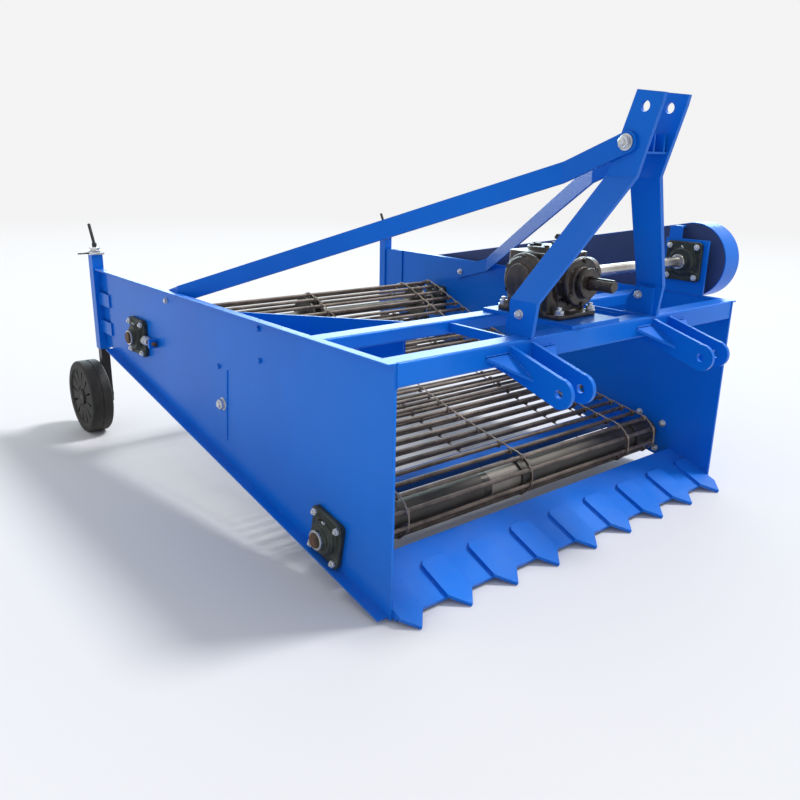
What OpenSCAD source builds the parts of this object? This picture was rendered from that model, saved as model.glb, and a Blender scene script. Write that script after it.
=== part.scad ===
// Tractor-mounted chain potato digger, parked on its share tips and its two rear wheels.
// X runs across the machine, the share points to -Y, Z is up and the ground is z = 0.
// Every piece on the +X side is named left, every piece on the -X side is named right.

/* [Frame] */
// Clear width between the two side plates
inside_width = 1434; // [1150:1:1700]
// Thickness of each side plate
plate_t = 8; // [5:1:12]
// Height of the top edge of the side plates
plate_top = 656; // [620:1:720]
// Length of the side plates
plate_length = 1748; // [1700:1:1800]
// Height of the side plate above the ground at its front corner
front_clearance = 8; // [6:1:30]
// Height of the side plate above the ground at its rear corner
rear_clearance = 348; // [330:1:360]
// Width of the flange folded outwards along the top edge
flange_w = 17; // [12:1:29]
// Width of the flange folded outwards along the bottom edge
bottom_flange_w = 30; // [29:1:34]
// Thickness of the folded flanges
flange_t = 5; // [4:1:8]
// Side of the square front beam
beam_side = 60; // [50:1:70]
// Height of the second beam and of the rails
second_beam_h = 40; // [30:1:50]
// Distance from the front edge to the second beam
second_beam_y = 290; // [270:1:310]
// Distance from the middle to each rail between the beams
rail_x = 285; // [240:1:330]
// Thickness of the rails
rail_t = 10; // [6:1:14]
// Height of the slanted deflector plates
deflector_h = 130; // [80:1:150]
// Thickness of the deflector plates
deflector_t = 6; // [4:1:8]
// Flange width of the angle bar inside the web
angle_w = 46; // [38:1:48]

/* [Share] */
// Number of pointed teeth on the share
tooth_count = 9; // [7:1:10]
// Width of one tooth
tooth_w = 86; // [70:1:110]
// Thickness of the tooth plates
tooth_t = 10; // [6:1:14]
// Thickness of the share plate
share_t = 12; // [8:1:16]
// Depth of the share plate from its front edge to its rear edge
share_depth = 190; // [170:1:200]
// Length of a tooth from its tip to its rear end
tooth_len = 174; // [150:1:190]
// Length of the pointed end in front of the share plate
tooth_overhang = 53; // [45:1:65]
// Angle of the share above the ground
share_angle = 22; // [18:1:24]

/* [Hitch] */
// Distance from the middle to the middle of each pair of lower lugs
lug_pair_x = 310; // [280:1:320]
// Clear gap between the two plates of a pair
lug_gap = 69; // [50:1:72]
// Thickness of the lug plates
lug_t = 12; // [10:1:16]
// Bore for the lower link pin
lower_bore_d = 23; // [22:0.5:30]
// Height of the lower bore
lower_bore_z = 561; // [545:1:570]
// Reach of the lower bore in front of the front beam
lower_bore_reach = 165; // [140:1:180]
// Radius of the rounded lug nose
lug_nose_r = 38; // [32:1:42]
// Bore for the top link pin
top_bore_d = 26; // [20:0.5:28]
// Height of the top link bore
top_bore_z = 1219; // [1205:1:1228]
// Reach of the top link bore in front of the front beam
top_bore_reach = 117; // [108:1:122]
// Clear gap between the mast plates at the top
mast_gap = 92; // [70:1:100]
// Thickness of the mast legs
mast_t = 12; // [10:1:16]
// Distance from the middle to the outer face of each mast leg at its foot
mast_foot_x = 282; // [270:1:310]
// Length of the foot of each mast leg
mast_foot_l = 73; // [60:1:90]
// Diameter of the bolt that holds the braces to the mast
pivot_d = 24; // [18:1:30]

/* [Braces] */
// Height of the flat brace bars
brace_h = 54; // [44:1:66]
// Thickness of the brace bars
brace_t = 10; // [8:1:14]
// Distance from the front edge to the lower bend of the braces
brace_bend_y = 1130; // [1080:1:1160]
// Height of the lower bend of the braces
brace_bend_z = 650; // [635:1:665]
// Distance from the front edge to the rear brace bolt
brace_foot_y = 1281; // [1250:1:1320]
// Height of the rear brace bolt
brace_foot_z = 606; // [595:1:612]

/* [Drive] */
// Height of the cross shaft above the seat of the gearbox
shaft_rise = 102; // [90:1:110]
// Distance from the front edge to the cross shaft
cross_shaft_y = 190; // [180:1:200]
// Diameter of the cross shaft
cross_shaft_d = 35; // [30:1:40]
// Diameter of the splined input shaft
input_shaft_d = 35; // [30:1:38]
// Free length of the splined input shaft
input_shaft_len = 78; // [60:1:90]
// Pitch diameter of the small pulley on the cross shaft
small_pulley_d = 170; // [140:1:200]
// Pitch diameter of the large pulley on the web shaft
large_pulley_d = 330; // [280:1:340]
// Width of both pulleys
pulley_w = 56; // [40:1:60]
// Number of belts
belt_count = 3; // [2:1:3]
// Radius of the belt guard round the small pulley
guard_front_r = 128; // [125:1:135]
// Radius of the belt guard round the large pulley
guard_rear_r = 205; // [200:1:215]
// Depth of the belt guard
guard_depth = 86; // [80:1:110]
// Wall of the belt guard
guard_t = 3; // [2:0.5:5]

/* [Web] */
// Distance from the front edge to the front roller
front_roller_y = 258; // [250:1:268]
// Height of the front roller
front_roller_z = 135; // [130:1:145]
// Distance from the front edge to the middle stub axles that hold the web down
mid_axle_y = 829; // [780:1:880]
// Height of the middle stub axles
mid_axle_z = 355; // [345:1:362]
// Distance from the front edge to the web shaft at the rear
web_shaft_y = 1451; // [1420:1:1480]
// Height of the web shaft at the rear
web_shaft_z = 455; // [445:1:465]
// Diameter of the web rods
rod_d = 14; // [10:1:14]
// Spacing of the web rods along the web
rod_pitch = 50; // [42:1:60]
// Gap between the ends of the web rods and each side plate
rod_side_gap = 42; // [30:1:60]
// Width of the hook links that join the rods
link_w = 7; // [5:1:10]
// Thickness of the hook links
link_t = 6; // [4:1:8]
// Slack of the web in the middle of each upper run
web_sag = 14; // [0:1:25]
// Diameter of the front roller tube
roller_d = 89; // [80:1:95]
// Root diameter of the drive sprockets
sprocket_d = 140; // [120:1:150]
// Diameter of the rollers on the middle stub axles
mid_roller_d = 32; // [28:1:44]
// Diameter of the middle stub axles
mid_axle_d = 20; // [16:1:24]
// Diameter of the three shafts of the web
web_shaft_d = 40; // [35:1:45]
// Distance between the bolts of the flange bearings
bearing_bolts = 102; // [92:1:105]

/* [Wheels] */
// Diameter of the rear wheels
wheel_d = 290; // [250:1:310]
// Width of the wheel tread
wheel_w = 82; // [60:1:86]
// Distance from the side plate to the outer face of each wheel
wheel_offset = 110; // [108:1:125]
// Side of the square post
post_side = 42; // [40:1:50]
// Wall of the square post
post_wall = 4; // [3:1:5]
// Gap between the rear edge of the side plate and the post
post_gap = 86; // [70:1:100]
// Height of the post's lower end
post_bottom = 334; // [320:1:345]
// Height of the post's upper end
post_top = 708; // [680:1:730]
// Play between the leg and the inside of the post, on each side
leg_play = 0.5; // [0.3:0.1:2]
// Diameter of the wheel axle
axle_d = 25; // [20:1:30]
// Diameter of the height screw
screw_d = 14; // [12:1:15]

/* [Hidden] */
$fn = 14;

half_in = inside_width / 2;
half_out = half_in + plate_t;
post_y = plate_length + post_gap + post_side / 2;
bottom_angle = atan2(rear_clearance - front_clearance, plate_length);

gearbox_plate_t = 10;
gearbox_base_z = plate_top + gearbox_plate_t;
cross_shaft_z = gearbox_base_z + shaft_rise;

blue = "royalblue";
dark = "dimgray";
steel = "silver";

// The origin lies on the ground under the middle of the machine's outline
front_end_y = -lower_bore_reach - lug_nose_r;
rear_end_y = post_y + wheel_d / 2;

module placed() {
  translate([0, -(front_end_y + rear_end_y) / 2, 0]) children();
}

// Lays a 2D outline drawn as (Y, Z) in the YZ plane and gives it a thickness towards +X
module along_x(t) {
  rotate([90, 0, 90]) linear_extrude(height = t) children();
}

// Repeats its children on the other side of the machine
module mirrored() {
  mirror([1, 0, 0]) children();
}

// Square with rounded corners, lower left corner at the origin
module round_rect(w, h, r) {
  translate([r, 0]) square([w - 2 * r, h]);
  translate([0, r]) square([w, h - 2 * r]);
  for (x = [r, w - r], y = [r, h - r]) translate([x, y]) circle(r);
}

// The straight runs of an outline start this far inside its circles, so that they join as one face
run_lap = 0.4;

// Round bar along X from x = a to x = b
module bar_x(d, a, b) {
  translate([a, 0, 0]) rotate([0, 90, 0]) cylinder(h = b - a, d = d);
}

// Round bar along Y from y = a to y = b
module bar_y(d, a, b) {
  translate([0, b, 0]) rotate([90, 0, 0]) cylinder(h = b - a, d = d);
}

// Side plates

shaft_play = 4;
tension_slot = 40;

// Side outline of a plate
module plate_outline() {
  polygon([[0, front_clearance], [plate_length, rear_clearance], [plate_length, plate_top], [0, plate_top]]);
}

flange_end_gap = 2;
bottom_flange_start = 12;
bottom_flange_step = 0.5;
bottom_edge = sqrt(pow(plate_length, 2) + pow(rear_clearance - front_clearance, 2));

// Plate on the +X side with its folded top and bottom flanges
module side_plate() {
  color(blue) {
    difference() {
      translate([half_in, 0, 0]) along_x(plate_t) plate_outline();
      translate([0, front_roller_y, front_roller_z]) bar_x(web_shaft_d + shaft_play, half_in - 1, half_out + 1);
      translate([0, mid_axle_y, mid_axle_z]) bar_x(mid_axle_d + 1, half_in - 1, half_out + 1);
      for (y = [-tension_slot / 2, tension_slot / 2])
        translate([0, web_shaft_y + y, web_shaft_z]) bar_x(web_shaft_d + shaft_play, half_in - 1, half_out + 1);
      translate([half_in - 1, web_shaft_y - tension_slot / 2, web_shaft_z - (web_shaft_d + shaft_play) / 2])
        cube([plate_t + 2, tension_slot, web_shaft_d + shaft_play]);
    }
    translate([half_out, 0, plate_top - flange_t]) cube([flange_w, plate_length + post_gap - flange_end_gap, flange_t]);
    translate([half_out, 0, front_clearance]) rotate([bottom_angle, 0, 0])
      translate([0, bottom_flange_start, bottom_flange_step])
        cube([bottom_flange_w, bottom_edge - bottom_flange_start - 1, flange_t]);
  }
}

module side_plate_left() { placed() side_plate(); }
module side_plate_right() { placed() mirrored() side_plate(); }

// Beams and rails

beam_r = 7;
second_beam_w = 60;

module front_beam() {
  placed() color(blue) translate([-half_in, 0, plate_top - beam_side])
    along_x(inside_width) round_rect(beam_side, beam_side, beam_r);
}

module second_beam() {
  placed() color(blue) translate([-half_in, second_beam_y, plate_top - second_beam_h])
    along_x(inside_width) round_rect(second_beam_w, second_beam_h, beam_r);
}

// Flat bars on edge that tie the two beams together
module frame_rails() {
  placed() color(blue) for (x = [-rail_x, rail_x])
    translate([x - rail_t / 2, beam_side, plate_top - second_beam_h + beam_r])
      cube([rail_t, second_beam_y - beam_side, second_beam_h - 2 * beam_r]);
}

gearbox_plate_w = 210;

// Seat of the gearbox, lying on both beams
module gearbox_plate() {
  placed() color(blue) translate([-gearbox_plate_w / 2, beam_r, plate_top])
    cube([gearbox_plate_w, second_beam_y + second_beam_w - 2 * beam_r, gearbox_plate_t]);
}

// Deflectors run from the side plates forward to the second beam

deflector_in_x = 400;
deflector_rear_y = 735;
second_beam_rear = second_beam_y + second_beam_w;

module deflector() {
  color(blue) translate([0, 0, plate_top - deflector_h]) linear_extrude(height = deflector_h)
    polygon([
      [deflector_in_x, second_beam_rear], [deflector_in_x + deflector_t * 1.4, second_beam_rear],
      [half_in, deflector_rear_y - deflector_t * 1.4], [half_in, deflector_rear_y]
    ]);
}

module deflector_left() { placed() deflector(); }
module deflector_right() { placed() mirrored() deflector(); }

// Angle bar that stiffens the frame inside the web, turned so that one leg runs along the web

angle_t = 5;
angle_y = 368;
angle_z = 165;
angle_tilt = 22;

module cross_angle() {
  placed() color(blue) translate([-half_in, angle_y, angle_z]) along_x(inside_width) rotate(angle_tilt)
    polygon([
      [0, 0], [angle_w, 0], [angle_w, -angle_t], [angle_t, -angle_t], [angle_t, -angle_w], [0, -angle_w]
    ]);
}

// Share, laid out along its own slope: u runs up the slope from the tooth tips

tooth_nose = 52;
tooth_chamfer = 12;
outer_tooth_w = 72;
tooth_pitch = (inside_width - outer_tooth_w) / (tooth_count - 1);
tip_y = -66;

// Moves its children from the flat share layout to the sloping place on the ground
module share_place() {
  translate([0, tip_y, 0]) rotate([share_angle, 0, 0]) translate([0, 0, -share_t]) children();
}

module share_plate() {
  placed() color(blue) share_place()
    translate([-half_in, tooth_overhang, 0]) cube([inside_width, share_depth, share_t]);
}

// Pointed plate welded on top of the share
module tooth_outline(w) {
  polygon([
    [-w / 2, tooth_nose], [0, 0], [w / 2, tooth_nose], [w / 2, tooth_len - tooth_chamfer],
    [w / 2 - tooth_chamfer, tooth_len], [-w / 2 + tooth_chamfer, tooth_len], [-w / 2, tooth_len - tooth_chamfer]
  ]);
}

module share_teeth() {
  placed() color("cornflowerblue") share_place() intersection() {
    translate([0, 0, share_t]) for (i = [0:tooth_count - 1])
      translate([(i - (tooth_count - 1) / 2) * tooth_pitch, 0, 0])
        linear_extrude(height = tooth_t) tooth_outline(tooth_w);
    translate([-half_in, -1, 0]) cube([inside_width, tooth_len + 2, share_t + tooth_t + 1]);
  }
}

// Lower hitch lugs

lug_root_top = plate_top - 9;
lug_root_low = plate_top - beam_side;
lug_foot_h = 24;
gusset_t = 8;
gusset_w = 82;
gusset_len = 100;
gusset_z = 630;
gusset_slope = 31;
gusset_weld = 5;

// Side outline of a lug plate in (Y, Z)
module lug_outline() {
  bore = [-lower_bore_reach, lower_bore_z];
  r = lug_nose_r - run_lap;
  difference() {
    union() {
      translate(bore) circle(lug_nose_r);
      polygon([
        [0, lug_root_top], bore + r * [sin(-28), cos(28)], bore - r * [sin(-18), cos(18)],
        [0, lug_root_low - lug_foot_h], [beam_side, lug_root_low - lug_foot_h / 2],
        [beam_side, lug_root_low], [0, lug_root_low]
      ]);
    }
    translate(bore) circle(d = lower_bore_d);
  }
}

// Triangle between the beam and the outer side of a lug, on the +X side of that lug
module lug_gusset() {
  translate([0, 0, gusset_z]) rotate([gusset_slope, 0, 0]) translate([0, 0, -gusset_t])
    linear_extrude(height = gusset_t) polygon([[0, -gusset_weld], [gusset_w, -gusset_weld], [0, -gusset_len]]);
}

module lug_pair() {
  outer = lug_pair_x + lug_gap / 2;
  inner = lug_pair_x - lug_gap / 2 - lug_t;
  color(blue) {
    translate([outer, 0, 0]) along_x(lug_t) lug_outline();
    translate([inner, 0, 0]) along_x(lug_t) lug_outline();
    translate([outer + lug_t, 0, 0]) lug_gusset();
    translate([inner, 0, 0]) mirrored() lug_gusset();
  }
}

module hitch_lugs_left() { placed() lug_pair(); }
module hitch_lugs_right() { placed() mirrored() lug_pair(); }

// Mast: two flat bars, bent inwards above the beam and parallel again at the top

mast_top_z = top_bore_z + 45;
mast_bend_low = plate_top + 92;
mast_bend_drop = 163;
mast_bend_high = top_bore_z - mast_bend_drop;
mast_top_x = mast_gap / 2 + mast_t;
mast_back_y = -22;
mast_front_y = -112;
pivot_y = 37 - top_bore_reach;
pivot_z = top_bore_z - 83;

// Side outline of a mast leg in (Y, Z)
module mast_side() {
  polygon([
    [-4, plate_top], [mast_foot_l - 4, plate_top], [mast_foot_l + 4, mast_bend_low - 12],
    [mast_back_y, mast_bend_high], [27 - top_bore_reach, mast_top_z - 6],
    [-36 - top_bore_reach, mast_top_z - 14], [-45 - top_bore_reach, mast_top_z - 40],
    [mast_front_y, mast_bend_high], [-16, mast_bend_low]
  ]);
}

// Front outline of the left mast leg in (X, Z), a band of constant thickness
module mast_front() {
  lean = atan2(mast_foot_x - mast_top_x, mast_bend_high - mast_bend_low);
  knee = mast_t * tan(lean / 2);
  polygon([
    [mast_foot_x, plate_top], [mast_foot_x, mast_bend_low], [mast_top_x, mast_bend_high],
    [mast_top_x, mast_top_z], [mast_top_x - mast_t, mast_top_z], [mast_top_x - mast_t, mast_bend_high - knee],
    [mast_foot_x - mast_t, mast_bend_low - knee], [mast_foot_x - mast_t, plate_top]
  ]);
}

module mast_leg() {
  color(blue) difference() {
    intersection() {
      along_x(mast_foot_x + 1) mast_side();
      rotate([90, 0, 0]) linear_extrude(height = 2 * plate_length, center = true) mast_front();
    }
    translate([0, -top_bore_reach, top_bore_z]) bar_x(top_bore_d, 0, mast_top_x + 1);
    translate([0, pivot_y, pivot_z]) bar_x(pivot_d, 0, mast_top_x + 1);
  }
}

module mast_leg_left() { placed() mast_leg(); }
module mast_leg_right() { placed() mirrored() mast_leg(); }

bracket_t = 10;
bracket_h = 82;

// Upright bracket on the beam, bolted to the inner face of a mast leg
module mast_bracket() {
  x = mast_foot_x - mast_t - bracket_t;
  translate([x, 0, plate_top]) along_x(bracket_t)
    polygon([[beam_r, 0], [beam_side + 36, 0], [beam_side + 36, 40], [62, bracket_h], [beam_r, bracket_h]]);
}

module mast_brackets() {
  placed() color(blue) {
    mast_bracket();
    mirrored() mast_bracket();
  }
}

spacer_h = 56;
spacer_d = 30;
spacer_t = 6;
spacer_drop = 127;
spacer_z = top_bore_z - spacer_drop;

// Channel between the mast plates below the top link bore
module mast_spacer() {
  placed() color(blue) translate([-mast_gap / 2, -top_bore_reach - 7, spacer_z]) along_x(mast_gap)
    difference() {
      square([spacer_d, spacer_h]);
      translate([spacer_t, spacer_t]) square([spacer_d, spacer_h - 2 * spacer_t]);
    }
}

head_h = 12;

module mast_bolt() {
  reach = mast_top_x + brace_t;
  placed() color(steel) translate([0, pivot_y, pivot_z]) {
    bar_x(pivot_d, -reach, reach);
    translate([reach, 0, 0]) rotate([0, 90, 0]) cylinder(h = head_h, d = 40, $fn = 6);
    translate([-reach - head_h, 0, 0]) rotate([0, 90, 0]) cylinder(h = head_h, d = 40, $fn = 6);
  }
}

// Braces: flat bars from the mast bolt to the inner faces of the side plates

brace_top_pad = 190;
brace_end = 34;
brace_slant = atan2(brace_bend_z - pivot_z, brace_bend_y - pivot_y);
brace_foot_slant = atan2(brace_foot_z - brace_bend_z, brace_foot_y - brace_bend_y);

// Plan outline of the left brace in (X, Y)
module brace_plan() {
  x1 = mast_top_x;
  x2 = half_in - brace_t;
  polygon([
    [x1, pivot_y - brace_h], [x1 + brace_t, pivot_y - brace_h], [x1 + brace_t, pivot_y + brace_top_pad],
    [half_in, brace_bend_y], [half_in, brace_foot_y + 2 * brace_h],
    [x2, brace_foot_y + 2 * brace_h], [x2, brace_bend_y], [x1, pivot_y + brace_top_pad]
  ]);
}

// Corner of an offset bend, where a bar changes from slant a to slant b
function mitre(p, a, b, h) = p + h / cos((a - b) / 2) * [-sin((a + b) / 2), cos((a + b) / 2)];

// Side outline of a brace in (Y, Z), bent where it meets the side plate
module brace_side() {
  half = brace_h / 2 - 1;
  start = [pivot_y, pivot_z];
  bend = [brace_bend_y, brace_bend_z];
  end = [brace_foot_y, brace_foot_z] + brace_end * [cos(brace_foot_slant), sin(brace_foot_slant)];
  polygon([
    mitre(start, brace_slant, brace_slant, half), mitre(bend, brace_slant, brace_foot_slant, half),
    mitre(end, brace_foot_slant, brace_foot_slant, half), mitre(end, brace_foot_slant, brace_foot_slant, -half),
    mitre(bend, brace_slant, brace_foot_slant, -half), mitre(start, brace_slant, brace_slant, -half)
  ]);
}

module brace() {
  color(blue) difference() {
    union() {
      intersection() {
        translate([mast_top_x - 1, 0, 0]) along_x(half_in) brace_side();
        linear_extrude(height = mast_top_z) brace_plan();
      }
      translate([0, pivot_y, pivot_z]) bar_x(brace_h, mast_top_x, mast_top_x + brace_t);
    }
    translate([0, pivot_y, pivot_z]) bar_x(pivot_d, 0, mast_top_x + brace_t + 1);
  }
}

module brace_left() { placed() brace(); }
module brace_right() { placed() mirrored() brace(); }

// Gearbox: cast bevel box on its flange, input to the front, output to the left

gearbox_flange_t = 14;
gearbox_flange_l = 240;
gearbox_w = 170;
gearbox_l = 180;
gearbox_h = shaft_rise + 76;
gearbox_nose = 12;
cover_t = 14;
cover_d = 130;
output_neck_d = 128;
output_seal_d = 92;
output_end = 190;
output_neck_l = 34;
blind_neck_l = 30;
blind_seal_l = 44;
input_neck_l = 22;
input_seal_l = 62;
seal_seat = 8;
bore_start = 36;
input_neck_d = 118;
input_seal_d = 84;
input_seal_y = -gearbox_l / 2 - input_seal_l;
shaft_gap = 0.5;

// Everything here is laid out from the vertical line through the crossing of the two shafts
module gearbox() {
  placed() color(dark) translate([0, cross_shaft_y, 0]) difference() {
    union() {
      translate([-gearbox_w / 2, -gearbox_flange_l / 2, gearbox_base_z])
        linear_extrude(height = gearbox_flange_t) round_rect(gearbox_w, gearbox_flange_l, 16);
      translate([-gearbox_w / 2, -gearbox_l / 2 + gearbox_nose, gearbox_base_z])
        linear_extrude(height = gearbox_h) round_rect(gearbox_w, gearbox_l - gearbox_nose, 24);
      translate([0, 0, gearbox_base_z + gearbox_h]) cylinder(h = cover_t, d = cover_d);
      translate([0, 0, cross_shaft_z]) bar_x(output_neck_d, -gearbox_w / 2 - blind_neck_l, gearbox_w / 2 + output_neck_l);
      translate([0, 0, cross_shaft_z]) bar_x(output_seal_d, -gearbox_w / 2 - blind_seal_l, output_end);
      translate([0, 0, cross_shaft_z]) bar_y(input_neck_d, -gearbox_l / 2 - input_neck_l, 0);
      translate([0, 0, cross_shaft_z]) bar_y(input_seal_d, input_seal_y, 0);
    }
    translate([0, 0, cross_shaft_z]) bar_x(cross_shaft_d + 2 * shaft_gap, 0, output_end + 1);
    translate([0, 0, cross_shaft_z]) bar_y(input_shaft_d + 2 * shaft_gap, input_seal_y - seal_seat, -bore_start);
  }
}

input_front = cross_shaft_y + input_seal_y;
spline_count = 6;

// Splined stub with six keys for the drive shaft of the tractor
module input_shaft() {
  root = input_shaft_d - 6;
  key_w = 8;
  placed() color("dimgray") translate([0, 0, cross_shaft_z]) {
    bar_y(root, input_front - input_shaft_len, input_front + 4);
    bar_y(input_shaft_d, input_front + 4, cross_shaft_y - 40);
    for (i = [0:spline_count / 2 - 1])
      rotate([0, i * 360 / spline_count, 0])
        translate([-key_w / 2, input_front - input_shaft_len + 3, -input_shaft_d / 2])
          cube([key_w, input_shaft_len, input_shaft_d]);
  }
}

shaft_overhang = 94;
shaft_end_x = half_out + shaft_overhang;

module cross_shaft() {
  placed() color("gainsboro") translate([0, cross_shaft_y, cross_shaft_z]) bar_x(cross_shaft_d, 40, shaft_end_x);
}

// Plate that stands on the left side plate and carries the cross shaft bearing

bearing_plate_l = 162;
bearing_plate_h = cross_shaft_z - plate_top + 74;

module bearing_plate() {
  placed() color(blue) difference() {
    translate([half_in, cross_shaft_y - bearing_plate_l / 2, plate_top]) along_x(plate_t)
      square([bearing_plate_l, bearing_plate_h]);
    translate([0, cross_shaft_y, cross_shaft_z]) bar_x(cross_shaft_d + shaft_play, half_in - 1, half_out + 1);
  }
}

bearing_side = bearing_bolts + 30;
bearing_base_t = 14;
bearing_boss_t = 32;

// Square four-bolt flange bearing for a shaft along X, seated at x = 0 and facing +X
module flange_bearing(shaft_d) {
  difference() {
    union() {
      translate([0, -bearing_side / 2, -bearing_side / 2]) along_x(bearing_base_t) round_rect(bearing_side, bearing_side, 15);
      bar_x(86, 0, bearing_boss_t);
      bar_x(shaft_d + 16, 0, bearing_boss_t + 8);
    }
    bar_x(shaft_d + 2 * shaft_gap, -1, bearing_boss_t + 10);
  }
}

module cross_shaft_bearing() {
  placed() color(dark) translate([half_in, cross_shaft_y, cross_shaft_z]) mirrored() flange_bearing(cross_shaft_d);
}

// Belt guard, pulleys and belts outside the left plate

guard_in = half_out + bottom_flange_w + 2;
pulley_x = guard_in + guard_t + 7;
guard_hole_play = 12;

// Long rounded outline round both pulleys, in (Y, Z)
module belt_outline(r_front, r_rear) {
  dy = web_shaft_y - cross_shaft_y;
  dz = web_shaft_z - cross_shaft_z;
  run = sqrt(dy * dy + dz * dz);
  dir = atan2(dz, dy);
  up = acos((r_front - r_rear) / run);
  translate([cross_shaft_y, cross_shaft_z]) circle(r_front);
  translate([web_shaft_y, web_shaft_z]) circle(r_rear);
  polygon([
    [cross_shaft_y, cross_shaft_z] + (r_front - run_lap) * [cos(dir + up), sin(dir + up)],
    [web_shaft_y, web_shaft_z] + (r_rear - run_lap) * [cos(dir + up), sin(dir + up)],
    [web_shaft_y, web_shaft_z] + (r_rear - run_lap) * [cos(dir - up), sin(dir - up)],
    [cross_shaft_y, cross_shaft_z] + (r_front - run_lap) * [cos(dir - up), sin(dir - up)]
  ]);
}

guard_post_d = 16;
guard_post_at = [0.45, 0.7];

module belt_guard() {
  $fn = 24;
  placed() color(blue) {
    difference() {
      translate([guard_in, 0, 0]) along_x(guard_depth) belt_outline(guard_front_r, guard_rear_r);
      translate([guard_in + guard_t, 0, 0]) along_x(guard_depth - 2 * guard_t)
        belt_outline(guard_front_r - guard_t, guard_rear_r - guard_t);
      translate([0, cross_shaft_y, cross_shaft_z]) bar_x(cross_shaft_d + guard_hole_play, guard_in - 1, guard_in + guard_t + 1);
      translate([0, web_shaft_y, web_shaft_z]) bar_x(web_shaft_d + guard_hole_play, guard_in - 1, guard_in + guard_t + 1);
    }
    for (f = guard_post_at)
      translate([0, cross_shaft_y + f * (web_shaft_y - cross_shaft_y), cross_shaft_z + f * (web_shaft_z - cross_shaft_z)])
        bar_x(guard_post_d, half_out, guard_in + guard_depth - guard_t / 2);
  }
}

// Pulley with grooves for the belts, from x = 0 towards +X
module pulley(d, bore) {
  groove = pulley_w / 3;
  rotate([90, 0, 90]) rotate_extrude($fn = 16) difference() {
    translate([bore / 2 + 0.3, 0]) square([d / 2 + 5 - bore / 2 - 0.3, pulley_w]);
    for (i = [0:2])
      translate([d / 2 - 7, (i + 0.5) * groove])
        polygon([[0, -3], [14, -7], [14, 7], [0, 3]]);
  }
}

module small_pulley() {
  placed() color(dark) translate([pulley_x, cross_shaft_y, cross_shaft_z]) pulley(small_pulley_d, cross_shaft_d);
}

module large_pulley() {
  placed() color(dark) translate([pulley_x, web_shaft_y, web_shaft_z]) pulley(large_pulley_d, web_shaft_d);
}

belt_w = 12;
belt_t = 8;

module drive_belts() {
  groove = pulley_w / 3;
  placed() color("black") for (i = [0:belt_count - 1])
    translate([pulley_x + (i + 0.5) * groove - belt_w / 2, 0, 0]) along_x(belt_w)
      difference() {
        belt_outline(small_pulley_d / 2 + 5 + belt_t, large_pulley_d / 2 + 5 + belt_t);
        belt_outline(small_pulley_d / 2 + 5.3, large_pulley_d / 2 + 5.3);
      }
}

// Web: a closed loop of rods, each hooked to the next by bent links

rod_len = inside_width - 2 * rod_side_gap;
outer_strand = rod_len / 2 - 15;
inner_strand = outer_strand - 155;
strand_x = [-outer_strand, -inner_strand, 0, inner_strand, outer_strand];
seat = 0.5;
hook_gap = 0.05;
hook_reach = 4;
disc_h = 8;
sprocket_rim_h = 6;

// Guides of the web as [distance from the front edge, height, radius to the middle of the rods]:
// the front roller, the rods' place under the middle stub axles, and the sprockets
guide = [
  [front_roller_y, front_roller_z, roller_d / 2 + disc_h + rod_d / 2 + seat],
  [mid_axle_y, mid_axle_z - mid_roller_d / 2 - rod_d / 2 - seat, 0],
  [web_shaft_y, web_shaft_z, sprocket_d / 2 + sprocket_rim_h + rod_d / 2 + seat]
];

// Outward direction of the straight run from guide i to guide j
function run_normal(i, j) =
  let (d = guide[j] - guide[i])
  atan2(d[1], d[0]) + acos(-d[2] / norm([d[0], d[1]]));

function run_length(i, j) =
  let (d = guide[j] - guide[i])
  sqrt(d[0] * d[0] + d[1] * d[1] - d[2] * d[2]);

n01 = run_normal(0, 1);
n12 = run_normal(1, 2);
n20 = run_normal(2, 0);
arc0 = (n20 + 360 - n01) * PI / 180 * guide[0][2];
arc2 = (n12 - n20) * PI / 180 * guide[2][2];
run01 = run_length(0, 1);
run12 = run_length(1, 2);
run20 = run_length(2, 0);
web_length = run01 + run12 + arc2 + run20 + arc0;
rod_count = round(web_length / rod_pitch);

// Point on guide i where the outward direction is a
function on_guide(i, a) = [guide[i][0], guide[i][1]] + guide[i][2] * [cos(a), sin(a)];

function between(p, q, f) = p + (q - p) * f;

// The same on an upper run, which hangs through by the slack
function hanging(p, q, f) = between(p, q, f) - [0, 4 * web_sag * f * (1 - f)];

// Place of a rod at a distance s along the loop, from the top of the front roller rearwards
function web_at(s) =
  s < run01 ? hanging(on_guide(0, n01), on_guide(1, n01), s / run01) :
  s < run01 + run12 ? hanging(on_guide(1, n12), on_guide(2, n12), (s - run01) / run12) :
  s < run01 + run12 + arc2 ? on_guide(2, n12 - (s - run01 - run12) / guide[2][2] * 180 / PI) :
  s < web_length - arc0 ? between(on_guide(2, n20), on_guide(0, n20), (s - run01 - run12 - arc2) / run20) :
  on_guide(0, n20 - (s - web_length + arc0) / guide[0][2] * 180 / PI);

function rod_at(k) = web_at((k % rod_count) * web_length / rod_count);

// Direction of the link from rod k to the next, which leans over the one and hooks under the other
function link_angle(k) =
  let (step = rod_at(k + 1) - rod_at(k))
  atan2(step[1], step[0]) - asin((rod_d + 2 * hook_gap + link_t) / norm(step));

// Side outline of one link
module link_outline(k) {
  step = rod_at(k + 1) - rod_at(k);
  reach = sqrt(pow(norm(step), 2) - pow(rod_d + 2 * hook_gap + link_t, 2));
  translate(rod_at(k) + step / 2) rotate(link_angle(k)) square([reach + 2 * hook_reach, link_t], center = true);
}

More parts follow.
